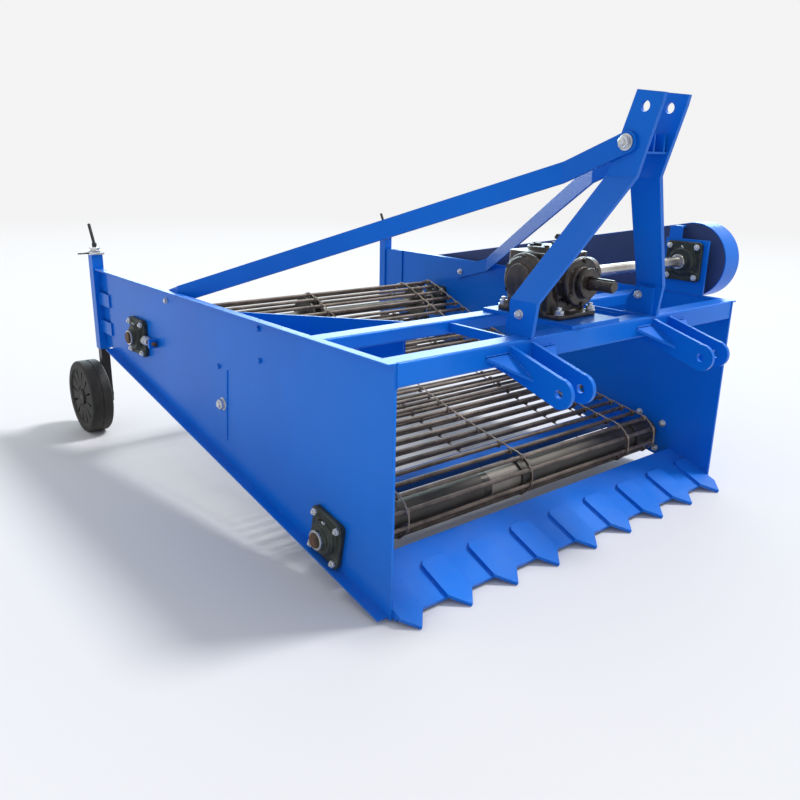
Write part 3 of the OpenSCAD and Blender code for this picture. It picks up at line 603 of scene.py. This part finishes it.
def hex_bolt(flats, head, washer=True, stub=0.0):
    """Bolt head seated at z = 0, with chamfered corners. A stub is a bolt's end past a nut."""
    under = WASHER if washer else 0
    top = under + head
    pieces = [bevel(cylinder(flats / math.sqrt(3), head, 6, under), flats * 0.06, 1, 60)]
    if washer:
        pieces.append(bevel(cylinder(flats * 0.68, WASHER, 20), 0.0005, 1))
    if stub:
        pieces.append(bevel(cylinder(flats * 0.31, stub, 12, top - 0.001), 0.0012, 1))
    return smooth(join(pieces), 30)


# Square flange bearings: half of the bolt spacing, and the thickness of their foot
BEARING_REACH = 51
BEARING_FOOT = 14

# Slope of the side plates' lower edge, which the front bearings follow
EDGE_TILT = math.atan2(340, 1748)


def bearing_corners(y, z, tilt=0.0):
    """Places of the four bolts of a square flange bearing as (y, z)."""
    c, s = math.cos(tilt), math.sin(tilt)
    return [(y + BEARING_REACH * (a * c - b * s), z + BEARING_REACH * (a * s + b * c))
            for a, b in ((-1, -1), (1, -1), (1, 1), (-1, 1))]


# Bolts on both sides as (x, y, z, way they face): two at a mast leg's foot, one on a brace
SIDE_BOLTS = ((260, 57, 712, -1), (282, 40, 712, 1), (707, 1288, 604, -1))

# Bolts on the outside of both side plates as (y, z)
BRACE_BOLT = (1206, 620)
PLATE_BOLTS = ((595, 631), (593, 540), (845, 471))

# Seat of the left head of the bolt through the mast
MAST_BOLT = (70, -80, 1136)

# Half section of the roller on a stub axle, as (radius, distance from the middle)
STUB_ROLLER = ((0, 0.6715), (0.010, 0.6715), (0.010, 0.6735), (0.0148, 0.6735),
               (0.016, 0.6748), (0.016, 0.7098), (0.0148, 0.711), (0.010, 0.711),
               (0.010, 0.726), (0, 0.726))


def frame_bolts():
    """Bolts of the bearings, the mast and the braces as (x, y, z, way they face)."""
    bolts = []
    for side in (-1, 1):
        for y, z in bearing_corners(*FRONT_ROLLER, EDGE_TILT):
            bolts.append((side * (HALF_OUTSIDE + BEARING_FOOT), y, z, side))
            bolts.append((side * HALF_INSIDE, y, z, -side))
    right = [(-HALF_OUTSIDE - BEARING_FOOT, -1), (-HALF_INSIDE, 1)]
    left = [(HALF_INSIDE - BEARING_FOOT, -1), (HALF_OUTSIDE, 1)]
    for shaft, seats in ((WEB_SHAFT, right + left), (CROSS_SHAFT, left)):
        bolts += [(x, y, z, way) for y, z in bearing_corners(*shaft) for x, way in seats]
    for side in (-1, 1):
        bolts += [(side * x, y, z, side * way) for x, y, z, way in SIDE_BOLTS]
    return bolts


class DIGGER_OT_fasteners(bpy.types.Operator):
    """Add the bolts and nuts that hold the bearings, the braces, the mast and the plates"""
    bl_idname = "digger.fasteners"
    bl_label = "Fasteners"

    def execute(self, context):
        rng = random.Random(7)
        sides = (-1, 1)
        small = [(side * HALF_OUTSIDE, *BRACE_BOLT, side) for side in sides]
        painted = [(side * HALF_OUTSIDE, y, z, side) for side in sides for y, z in PLATE_BOLTS]
        stubs = [(side * HALF_OUTSIDE, *STUB_AXLE, side) for side in sides]
        for name, flats, head, stub, places, material in (
                ("frame_bolts_m12", 0.0185, 0.008, 0.006, frame_bolts(), "Zinc"),
                ("frame_bolts_m10", 0.015, 0.006, 0.0, small, "Zinc"),
                ("painted_bolts_m8", 0.013, 0.0045, 0.0, painted, "Blue Enamel"),
                ("stub_axle_nuts", 0.030, 0.013, 0.006, stubs, "Zinc")):
            laid = [at(spot(x, y, z), (way, 0, 0), rng.uniform(0, 1.05))
                    for x, y, z, way in places]
            bolts = spread(hex_bolt(flats, head, True, stub), laid)
            settle(bolts, name, material)
            if places is stubs:
                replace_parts(bolts, "middle_axle")
        laid = [at(spot(0, *STUB_AXLE), (side, 0, 0)) for side in sides]
        rollers = smooth(spread(lathe(STUB_ROLLER, 24), laid))
        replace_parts(settle(rollers, "stub_axle_rollers", "Roller Steel"), "middle_axle")
        x, y, z = MAST_BOLT
        washer = bevel(cylinder(0.0205, 0.003, 28), 0.0006, 1)
        cap = hex_bolt(0.028, 0.012, False, 0.008)
        cap.location.z = 0.003
        pivot = smooth(join([washer, cap, cylinder(0.012, 0.078, 24, -0.078)]), 30)
        laid = [at(spot(side * x, y, z), (side, 0, 0), 0.3) for side in sides]
        pivot = settle(spread(pivot, laid), "mast_pivot_bolt", "Zinc")
        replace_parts(pivot, "mast_bolt")
        return {"FINISHED"}


# Castings

# Bearings as (frame part, seat, way they face, tilt, shaft radius)
BEARINGS = (
    ("front_bearings", (-HALF_OUTSIDE, *FRONT_ROLLER), -1, EDGE_TILT, 20),
    ("front_bearings", (HALF_OUTSIDE, *FRONT_ROLLER), 1, EDGE_TILT, 20),
    ("web_shaft_bearings", (-HALF_OUTSIDE, *WEB_SHAFT), -1, 0, 20),
    ("web_shaft_bearings", (HALF_INSIDE, *WEB_SHAFT), -1, 0, 20),
    ("cross_shaft_bearing", (HALF_INSIDE, *CROSS_SHAFT), -1, 0, 17.5),
)


def bearing_place(seat, way, tilt):
    turn = Matrix.Rotation(tilt, 4, "X") @ towards((way, 0, 0))
    return Matrix.Translation(spot(*seat)) @ turn


class DIGGER_OT_bearings(bpy.types.Operator):
    """Build the cast flange bearings with lobes, ribs, inner rings and grease nipples"""
    bl_idname = "digger.bearings"
    bl_label = "Bearings"

    def execute(self, context):
        reach = BEARING_REACH / 1000
        lobes = [Matrix.Translation((a * reach, b * reach, 0)) for a in (-1, 1) for b in (-1, 1)]
        ribs = [Matrix.Rotation(math.radians(a), 4, "Z") for a in (45, 135, 225, 315)]
        for part in ("front_bearings", "web_shaft_bearings", "cross_shaft_bearing"):
            extras = []
            for name, seat, way, tilt, shaft in BEARINGS:
                if name != part:
                    continue
                turn = bearing_place(seat, way, tilt)
                lobe = cylinder(0.0165, 0.0035, 20, 0.0132)
                extras.append(spread(lobe, [turn @ place for place in lobes]))
                rib = slab([(0.030, -0.006, 0.010), (0.064, -0.006, 0.010),
                            (0.056, -0.006, 0.017), (0.030, -0.006, 0.030)], (0, 0.012, 0))
                extras.append(spread(rib, [turn @ place for place in ribs]))
                collar = lathe([(0.043, 0.026), (0.0475, 0.024), (0.0475, 0.010),
                                (0.043, 0.010), (0.043, 0.026)], 32)
                extras.append(spread(collar, [turn]))
            cast = softened(part, extras, 0.0021, 3)
            settle(cast, part + "_cast", "Dark Casting")
            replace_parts(cast, part)
        rings, nipples, screws = [], [], []
        for name, seat, way, tilt, shaft in BEARINGS:
            r = shaft / 1000
            turn = bearing_place(seat, way, tilt)
            ring = lathe([(r + 0.0006, 0.040), (r + 0.0062, 0.040), (r + 0.0075, 0.0412),
                          (r + 0.0075, 0.0462), (r + 0.0062, 0.0475), (r + 0.0006, 0.0475),
                          (r + 0.0006, 0.040)], 32)
            rings.append(spread(ring, [turn]))
            nipple = lathe([(0, 0), (0.004, 0), (0.004, 0.004), (0.0024, 0.0055),
                            (0.0024, 0.009), (0.0032, 0.0105), (0.0018, 0.0135),
                            (0, 0.0135)], 10)
            nipples.append(spread(nipple, [turn @ at((0, 0.043, 0.021), (0, 0.75, 0.66))]))
            grub = cylinder(0.0028, 0.0016, 6)
            screws.append(spread(grub, [turn @ at((0, r + 0.007, 0.0437), (0, 1, 0))]))
        settle(smooth(join(rings)), "bearing_inner_rings", "Bright Shaft")
        settle(smooth(join(nipples)), "grease_nipples", "Zinc")
        settle(join(screws), "bearing_grub_screws", "Black Paint")
        return {"FINISHED"}


def cover(radius, start):
    """Round cover with a chamfered rim."""
    rim, end = 0.004, start + 0.016
    return lathe([(0, start), (radius - rim, start), (radius, start + rim),
                  (radius, end - rim), (radius - rim, end), (0, end)], 40)


class DIGGER_OT_gearbox(bpy.types.Operator):
    """Build the cast gearbox with its ribs, covers, bolts, breather and plugs"""
    bl_idname = "digger.gearbox"
    bl_label = "Gearbox"

    def execute(self, context):
        shaft = spot(0, *CROSS_SHAFT)
        front = at(shaft, (0, -1, 0))
        extras = [spread(cover(0.070, 0.110), [front]),
                  spread(cover(0.075, 0.096), [at(shaft, (1, 0, 0))]),
                  spread(cover(0.075, 0.092), [at(shaft, (-1, 0, 0))])]
        rib = slab([(-0.004, 0.050, 0), (-0.004, 0.094, 0), (-0.004, 0.094, 0.010),
                    (-0.004, 0.066, 0.040)], (0.008, 0, 0))
        behind = front @ Matrix.Translation((0, 0, 0.078))
        laid = [behind @ Matrix.Rotation(math.radians(45 * k), 4, "Z") @ Matrix.Scale(0.72, 4)
                for k in range(8)]
        extras.append(spread(rib, laid))
        for x in (-60, 50):
            extras.append(slab([spot(x, 96, 678), spot(x, 118, 678), spot(x, 118, 742)],
                               (0.010, 0, 0)))
        for y in (140, 190, 240):
            for xs in ((-90, -84), (84, 90)):
                extras.append(box(xs, (y - 4, y + 4), (679, 830)))
        cast = softened("gearbox", extras, 0.0028, 4)
        settle(cast, "gearbox_casting", "Oily Casting")
        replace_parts(cast, "gearbox")
        places = []
        for k in range(6):
            a = math.radians(60 * k + 30)
            c, s = math.cos(a), math.sin(a)
            places += [at(shaft + Vector((0.061 * c, -0.1255, 0.061 * s)), (0, -1, 0), k),
                       at(shaft + Vector((0.1115, 0.064 * c, 0.064 * s)), (1, 0, 0), k),
                       at(shaft + Vector((-0.1075, 0.064 * c, 0.064 * s)), (-1, 0, 0), k),
                       at(spot(55 * c, CROSS_SHAFT[0] + 55 * s, 857), (0, 0, 1), k)]
        bolts = spread(hex_bolt(0.013, 0.006, False), places)
        settle(bolts, "gearbox_cover_bolts", "Oily Steel")
        feet = [at(spot(x, y, 680), (0, 0, 1), x * y) for x in (-68, 68) for y in (84, 296)]
        settle(spread(hex_bolt(0.022, 0.011, True, 0.010), feet), "gearbox_foot_bolts", "Zinc")
        breather = lathe([(0, 0), (0.009, 0), (0.009, 0.008), (0.006, 0.010), (0.006, 0.018),
                          (0.012, 0.020), (0.012, 0.028), (0.008, 0.033), (0, 0.034)], 16)
        plugs = spread(hex_bolt(0.019, 0.008, False),
                       [at(spot(-89.5, 165, 720), (-1, 0, 0)), at(spot(-30, 210, 857))])
        breather = spread(breather, [at(spot(22, 180, 857))])
        settle(smooth(join([breather, plugs])), "gearbox_breather", "Oily Steel")
        return {"FINISHED"}


# Welds

SHARE_ANGLE = math.radians(22)
TOOTH_PITCH = (1434 - 72) / 8
SHARE_HALF = 712

# Lines of weld on both sides, as two ends (x, y, z) with x to the left: the hitch lugs and
# their gussets, the beams, the mast, the rails, the share, then the side plates' joints
SIDE_WELDS = (
    *(((x, 0.5, 575), (x, 0.5, 645)) for x in (263.5, 276.5, 343.5, 356.5)),
    ((264, -2, 630), (264, -78, 584)), ((356.5, -2, 630), (356.5, -78, 584)),
    ((262, -1, 630), (190, -1, 630)), ((358, -1, 630), (436, -1, 630)),
    ((716.5, 0, 598), (716.5, 0, 654)), ((716.5, 60.5, 598), (716.5, 60.5, 654)),
    ((716.5, 350.5, 618), (716.5, 350.5, 654)), ((402, 350.5, 530), (402, 350.5, 652)),
    ((716.5, 727, 530), (716.5, 727, 652)), ((260, 96, 656.5), (260, 10, 656.5)),
    ((249.5, 96, 656.5), (249.5, 10, 656.5)), ((280, 61, 640), (280, 289, 640)),
    ((716.5, 20, 36), (716.5, 112, 74)), ((725.5, 812, 243), (725.5, 790, 468)),
    ((731.5, 1833.5, 404), (731.5, 1833.5, 454)),
    ((731.5, 1833.5, 514), (731.5, 1833.5, 564)),
)

# Lines of weld on the left or in the middle: the bearing plate and the gearbox plate
OTHER_WELDS = (
    ((725.5, 112, 656.8), (725.5, 268, 656.8)), ((716.5, 112, 656.8), (716.5, 268, 656.8)),
    ((-102, 8, 657), (102, 8, 657)), ((-105.5, 12, 657), (-105.5, 58, 657)),
    ((105.5, 12, 657), (105.5, 58, 657)),
)


def on_share(x, up):
    """Point on top of the share, up its slope from the tooth tips."""
    return spot(x, -66 + up * math.cos(SHARE_ANGLE), up * math.sin(SHARE_ANGLE))


def weld_lines():
    """Lines of weld on the frame, as pairs of points."""
    lines = []
    for k in range(9):
        x = (k - 4) * TOOTH_PITCH
        for edge in (x - 43, x + 43):
            if abs(edge) < SHARE_HALF:
                lines.append((on_share(edge, 62), on_share(edge, 160)))
        lines.append((on_share(x - 28, 175), on_share(x + 28, 175)))
    for side in (-1, 1):
        for (ax, ay, az), (bx, by, bz) in SIDE_WELDS:
            lines.append((spot(side * ax, ay, az), spot(side * bx, by, bz)))
    return lines + [(spot(*a), spot(*b)) for a, b in OTHER_WELDS]


class WeldSettings(bpy.types.PropertyGroup):
    width: FloatProperty(
        name="Weld Width", description="Width of the weld beads", default=0.007,
        unit="LENGTH", min=0.004, max=0.012)


class DIGGER_OT_welds(bpy.types.Operator):
    """Lay rippled weld beads where the plates of the frame meet"""
    bl_idname = "digger.welds"
    bl_label = "Welds"

    def execute(self, context):
        width = context.scene.digger_welds.width
        rng = random.Random(11)
        flatness, spacing = 0.62, 0.62
        deselect()
        bpy.ops.mesh.primitive_uv_sphere_add(segments=8, ring_count=5, radius=width / 2)
        drop = bpy.context.object
        drop.scale = (1, 1, flatness)
        apply_place()
        smooth(drop, 60)
        laid = []
        for a, b in weld_lines():
            run = b - a
            count = max(2, int(run.length / (width * spacing)))
            turn = run.to_track_quat("X", "Z").to_matrix().to_4x4()
            for k in range(count + 1):
                place = Matrix.Translation(a + run * (k / count))
                laid.append(place @ turn @ Matrix.Scale(rng.uniform(0.88, 1.12), 4))
        settle(spread(drop, laid), "weld_beads", "Blue Enamel")
        return {"FINISHED"}


# Wheels

# Section of a wheel as (radius, distance from its inner face) in millimetres
WHEEL_SECTION = (
    (12.9, 0), (28, 0), (31, 2), (32, 9), (44, 9), (46, 6), (112, 6), (116, 0.8), (119, 0),
    (136, 0), (141, 2), (144.4, 6.5), (145, 12), (145, 37), (142.6, 39), (142.6, 43),
    (145, 45), (145, 70), (144.4, 75.5), (141, 80), (136, 82), (119, 82), (116, 81.2),
    (112, 76), (46, 76), (44, 73), (32, 73), (31, 80), (28, 82), (12.9, 82), (12.9, 0),
)
WHEEL_INNER_FACE = 753
AXLE_END = 823.2


class WheelSettings(bpy.types.PropertyGroup):
    slots: IntProperty(
        name="Slots", description="Number of radial slots in each face of a wheel",
        default=12, min=6, max=18)


class DIGGER_OT_wheels(bpy.types.Operator):
    """Build the solid wheels with hub, slotted faces and grooved tread, and the axle ends"""
    bl_idname = "digger.wheels"
    bl_label = "Wheels"

    def execute(self, context):
        # A slot takes two of every six steps round the wheel
        steps = context.scene.digger_wheels.slots * 6
        wheel = lathe([(r / 1000, h / 1000) for r, h in WHEEL_SECTION], steps)

        def in_slot(centre, normal):
            radius = math.hypot(centre.x, centre.y)
            step = math.atan2(centre.y, centre.x) % math.tau / math.tau * steps
            return abs(normal.z) > 0.9 and 0.05 < radius < 0.11 and int(step) % 6 < 2

        for way in (1, -1):
            pick_faces(wheel, lambda c, n: in_slot(c, n) and n.z * way > 0)
            bpy.ops.mesh.inset(thickness=0.0035, use_even_offset=True)
            deeper = {"value": (0, 0, -way * 0.012)}
            bpy.ops.mesh.extrude_region_move(TRANSFORM_OT_translate=deeper)
            done(wheel)
        smooth(wheel, 28)
        for side, name in ((-1, "right"), (1, "left")):
            place = Matrix.Translation(spot(side * WHEEL_INNER_FACE, *WHEEL_AXLE))
            copy = double(wheel, place @ towards((side, 0, 0), 0.26))
            settle(copy, "solid_wheel_" + name, "Wheel Rubber", "wheel_" + name)
            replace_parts(copy, "wheel_" + name)
            cap = lathe([(0, 0), (0.022, 0), (0.022, 0.003), (0.0135, 0.004), (0.0135, 0.009),
                         (0.0115, 0.011), (0, 0.011)], 24)
            cap = spread(cap, [at(spot(side * AXLE_END, *WHEEL_AXLE), (side, 0, 0))])
            settle(smooth(cap), "axle_washer_" + name, "Roller Steel", "leg_" + name)
        discard(wheel)
        return {"FINISHED"}


# Details

POST_TOP = 708


def screw_pieces(side, name):
    """Cap of a rear post, with the nut, pin and crank of its height screw."""
    x = side * HALF_OUTSIDE
    lid = POST_TOP + 10
    plate = bevel(box((x - 27, x + 27), (POST_Y - 27, POST_Y + 27), (POST_TOP, lid)), 0.0015)
    corners = ((-34, -5), (-30, -9), (30, -9), (34, -5), (34, 5), (30, 9), (-30, 9), (-34, 5))
    ears = slab([spot(x + a, POST_Y + b, lid) for a, b in corners], (0, 0, 0.004))
    nut = spread(hex_bolt(0.034, 0.012), [at(spot(x, POST_Y, lid + 4))])
    stub = spread(lathe([(0, 0), (0.009, 0), (0.009, 0.014), (0.0078, 0.016), (0, 0.016)], 20),
                  [at(spot(x, POST_Y, 736))])
    cap = settle(smooth(join([plate, ears, nut]), 30), "screw_cap_" + name, "Zinc")
    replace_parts(cap, "height_screw_" + name)
    crank = tube([spot(x, 1855, 738), spot(x, 1857, 750), spot(x, 1893, 815),
                  spot(x, 1896, 820)], 0.0062, 2)
    pin = tube([spot(x - 8, 1842, 714), spot(x - 30, 1846, 714), spot(x - 66, 1856, 713)], 0.003)
    crank = smooth(join([crank, stub, pin]), 40)
    crank = settle(crank, "screw_crank_" + name, "Black Paint")
    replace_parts(crank, "height_screw_" + name)


def round_drive(front, rear, steps=24):
    """Outline round both pulleys, with a radius for each, as (y, z)."""
    (y0, z0), (y1, z1) = CROSS_SHAFT, WEB_SHAFT
    along = math.atan2(z1 - z0, y1 - y0)
    lean = math.acos((front - rear) / math.hypot(y1 - y0, z1 - z0))
    outline = []
    for (y, z), radius, start, sweep in (
            (CROSS_SHAFT, front, along + lean, math.tau - 2 * lean),
            (WEB_SHAFT, rear, along - lean, 2 * lean)):
        for k in range(steps + 1):
            angle = start + sweep * k / steps
            outline.append((y + radius * math.cos(angle), z + radius * math.sin(angle)))
    return outline


def guard_pieces():
    """Dark navy plate at the back of the belt guard, a painted shade that stands in for the shade
    inside the guard, and the tab that joins it to the bearing plate.
    """
    # The navy plate is painted shade, laid where the inside of the guard lies in shade
    back = slab([spot(755.6, y, z) for y, z in round_drive(125, 202)], (0.0016, 0, 0))
    settle(smooth(back), "guard_painted_shade", "Painted Shade Navy")
    tab = slab([spot(719, y, z) for y, z in (
        (214, 838), (262, 838), (262, 880), (250, 884), (222, 884), (214, 880))], (0.006, 0, 0))
    arm = box((722, 762), (222, 250), (878, 884))
    settle(bevel(join([tab, arm]), 0.001, 2), "guard_tab", "Blue Enamel")


def roller_pieces():
    """Sleeve and ring round the front roller, and the bare ends of the shafts."""
    middle = at(spot(0, *FRONT_ROLLER), (-1, 0, 0))
    inner, corner, edge = 0.0435, 0.0445, 0.0005
    for name, material, outer, start, end in (
            ("roller_sleeve", "Pale Roller", 0.0450, 0.027, 0.1585),
            ("roller_ring", "Oily Steel", 0.0453, 0.1585, 0.1905)):
        band = lathe([(inner, start), (corner, start), (outer, start + edge),
                      (outer, end - edge), (corner, end), (inner, end), (inner, start)], 48)
        settle(smooth(spread(band, [middle])), name, material)
    end = lathe([(0, 0), (0.0196, 0), (0.0196, 0.0012), (0.018, 0.0028), (0, 0.0028)], 28)
    places = [at(spot(side * 775, *FRONT_ROLLER), (side, 0, 0)) for side in (-1, 1)]
    places.append(at(spot(-775, *WEB_SHAFT), (-1, 0, 0)))
    settle(smooth(spread(end, places)), "shaft_ends", "Rusty Steel")


def mast_pieces():
    """Ribbed channel between the mast legs, and their square top corners."""
    across, web = (-46, 46), (1115, 1158)
    plates = [box(across, (-124, -94), (1110, 1115)), box(across, (-98, -94), web)]
    plates += [box((x, x + 5), (-124, -98), web) for x in (-16, 28)]
    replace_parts(settle(join(plates), "mast_channel", "Blue Enamel"), "mast_spacer")
    for side, name in ((-1, "right"), (1, "left")):
        x = side * 58
        corner = slab([spot(x, -162, 1224), spot(x, -153, 1250), spot(x, -167, 1248.3)],
                      (-side * 0.012, 0, 0))
        settle(corner, "mast_corner_" + name, "Blue Enamel")


def tensioner_pieces():
    """Block on the right side plate, with the stud and nuts that pull the web shaft."""
    front, height = WEB_SHAFT[0] - 66, WEB_SHAFT[1]
    forward = (0, -1, 0)
    block = box((-755, -725), (front - 78, front - 66), (height - 16, height + 16))
    block = settle(bevel(block, 0.0015), "tensioner_block", "Blue Enamel")
    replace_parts(block, "tensioners")
    stud = bevel(cylinder(0.0072, 0.0995, 16), 0.0012, 1)
    stud = smooth(spread(stud, [at(spot(-740, front - 0.4, height), forward)]))
    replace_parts(settle(stud, "tensioner_stud", "Rusty Steel"), "tensioners")
    laid = [at(spot(-740, front - gap, height), forward, gap * 0.04) for gap in (6, 24)]
    nuts = settle(spread(hex_bolt(0.024, 0.012), laid), "tensioner_nuts", "Zinc")
    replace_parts(nuts, "tensioners")


class DIGGER_OT_details(bpy.types.Operator):
    """Add the small pieces of the posts, the guard, the roller, the mast and the tensioner"""
    bl_idname = "digger.details"
    bl_label = "Details"

    def execute(self, context):
        screw_pieces(-1, "right")
        screw_pieces(1, "left")
        guard_pieces()
        roller_pieces()
        mast_pieces()
        tensioner_pieces()
        return {"FINISHED"}


# Stage

# Place and turn of the photo's camera, with the shift of its middle
CAMERA_AT = spot(-1794.19, -1303.57, 1087.98)
CAMERA_YAW = 0.693281
CAMERA_PITCH = 0.299024
CAMERA_ROLL = 0.0192812
CAMERA_SHIFT = (0.001656, 0.002385)

# Brightness of the backdrop, into which the floor fades between two distances
BACKDROP = 0.9
FADE = (5.0, 16.0)


class StageSettings(bpy.types.PropertyGroup):
    lens: FloatProperty(
        name="Lens", description="Focal length of the camera in millimetres",
        default=35.566, min=10)
    key: FloatProperty(
        name="Key Light", description="Strength of the main lamp", default=2.4, min=0)
    fill: FloatProperty(
        name="Fill Light", description="Strength of the light from all round", default=0.75,
        min=0)
    sheen: FloatProperty(
        name="Sheen", description="Strength of the low light that paint and steel reflect",
        default=4.2, min=0)
    floor: FloatVectorProperty(
        name="Floor", description="Colour of the floor", subtype="COLOR", size=4, min=0,
        max=1, default=colour(214, 214, 216))


def make_floor(tone):
    """Round floor that fades into the backdrop."""
    deselect()
    bpy.ops.mesh.primitive_circle_add(vertices=96, radius=60, fill_type="NGON",
                                      location=(0, 0, 0))
    ground = bpy.context.object
    ground.name = "floor"
    mat = bpy.data.materials.new("Pale Floor")
    mat.use_nodes = True
    tree = mat.node_tree
    shader = tree.nodes["Principled BSDF"]
    shader.inputs["Roughness"].default_value = 0.85
    shader.inputs["Base Color"].default_value = tone
    distance = node(tree, "ShaderNodeCameraData").outputs["View Distance"]
    fade = ramp(tree, distance, *FADE, interpolation_type="SMOOTHSTEP")
    haze = node(tree, "ShaderNodeEmission", {"Color": (1.0, 1.0, 1.0, 1.0),
                                             "Strength": BACKDROP})
    faded = node(tree, "ShaderNodeMixShader", {0: fade, 1: shader.outputs[0],
                                               2: haze.outputs[0]})
    tree.links.new(faded.outputs[0], tree.nodes["Material Output"].inputs["Surface"])
    ground.data.materials.append(mat)


def make_world(strength):
    """Even light from all round, with a plain backdrop for the camera."""
    world = bpy.data.worlds.new("Studio")
    bpy.context.scene.world = world
    world.use_nodes = True
    tree = world.node_tree
    light = tree.nodes["Background"]
    light.inputs["Color"].default_value = (0.95, 0.97, 1.0, 1.0)
    light.inputs["Strength"].default_value = strength
    plain = node(tree, "ShaderNodeBackground", {"Color": (1.0, 1.0, 1.0, 1.0),
                                                "Strength": BACKDROP})
    seen = node(tree, "ShaderNodeLightPath").outputs["Is Camera Ray"]
    blend = node(tree, "ShaderNodeMixShader", {0: seen, 1: light.outputs[0],
                                               2: plain.outputs[0]})
    tree.links.new(blend.outputs[0], tree.nodes["World Output"].inputs["Surface"])


def make_sun(name, energy, width, direction, tone=(1.0, 1.0, 1.0)):
    """Sun lamp with an angular width in degrees, that stands in a direction."""
    sun = bpy.data.lights.new(name, "SUN")
    sun.energy = energy
    sun.color = tone
    sun.angle = math.radians(width)
    lamp = new_object(name, sun)
    lamp.matrix_world = towards(direction)
    return lamp


def make_camera(lens):
    """The photo's camera."""
    camera = bpy.data.cameras.new("camera")
    camera.lens = lens
    camera.sensor_width = 36
    camera.shift_x, camera.shift_y = CAMERA_SHIFT
    camera.clip_end = 200
    eye = new_object("camera", camera)
    cy, sy = math.cos(CAMERA_YAW), math.sin(CAMERA_YAW)
    cp, sp = math.cos(CAMERA_PITCH), math.sin(CAMERA_PITCH)
    cr, sr = math.cos(CAMERA_ROLL), math.sin(CAMERA_ROLL)
    look = Vector((cp * sy, cp * cy, -sp))
    right = Vector((cy, -sy, 0))
    up = right.cross(look)
    right, up = cr * right + sr * up, cr * up - sr * right
    turn = Matrix((right, up, -look)).transposed().to_4x4()
    eye.matrix_world = Matrix.Translation(CAMERA_AT) @ turn
    bpy.context.scene.camera = eye


class DIGGER_OT_stage(bpy.types.Operator):
    """Add the floor, the lamps and the camera"""
    bl_idname = "digger.stage"
    bl_label = "Stage"

    def execute(self, context):
        s = context.scene.digger_stage
        context.scene.view_settings.view_transform = "Standard"
        make_floor(tuple(s.floor))
        make_world(s.fill)
        make_sun("key", s.key, 14, (0.62, -0.22, 0.85))
        sheen = make_sun("low sky", s.sheen, 60, (0.60, 0.72, 0.36), (0.70, 0.91, 1.0))
        sheen.visible_diffuse = False
        make_camera(s.lens)
        return {"FINISHED"}


class DIGGER_PT_panel(bpy.types.Panel):
    """Lists the steps of the model in the sidebar"""
    bl_label = "Chain Potato Digger"
    bl_idname = "DIGGER_PT_panel"
    bl_space_type = "VIEW_3D"
    bl_region_type = "UI"
    bl_category = "Digger"

    def draw(self, context):
        layout = self.layout
        for step in STEPS:
            layout.operator(step.bl_idname)
        for name in SETTINGS:
            settings = getattr(context.scene, name)
            panel = layout.box()
            for key in settings.__annotations__:
                panel.prop(settings, key)


STEPS = (DIGGER_OT_finishes, DIGGER_OT_web, DIGGER_OT_fasteners, DIGGER_OT_bearings,
         DIGGER_OT_gearbox, DIGGER_OT_welds, DIGGER_OT_wheels, DIGGER_OT_details,
         DIGGER_OT_stage)
SETTINGS = {"digger_finishes": FinishSettings, "digger_web": WebSettings,
            "digger_welds": WeldSettings, "digger_wheels": WheelSettings,
            "digger_stage": StageSettings}


def register():
    for name, kind in SETTINGS.items():
        bpy.utils.register_class(kind)
        setattr(bpy.types.Scene, name, PointerProperty(type=kind))
    for step in STEPS:
        bpy.utils.register_class(step)
    bpy.utils.register_class(DIGGER_PT_panel)


def unregister():
    bpy.utils.unregister_class(DIGGER_PT_panel)
    for step in reversed(STEPS):
        bpy.utils.unregister_class(step)
    for name, kind in SETTINGS.items():
        delattr(bpy.types.Scene, name)
        bpy.utils.unregister_class(kind)


def main():
    register()
    bpy.ops.digger.finishes()
    bpy.ops.digger.web()
    bpy.ops.digger.fasteners()
    bpy.ops.digger.bearings()
    bpy.ops.digger.gearbox()
    bpy.ops.digger.welds()
    bpy.ops.digger.wheels()
    bpy.ops.digger.details()
    bpy.ops.digger.stage()


if __name__ == "__main__":
    main()
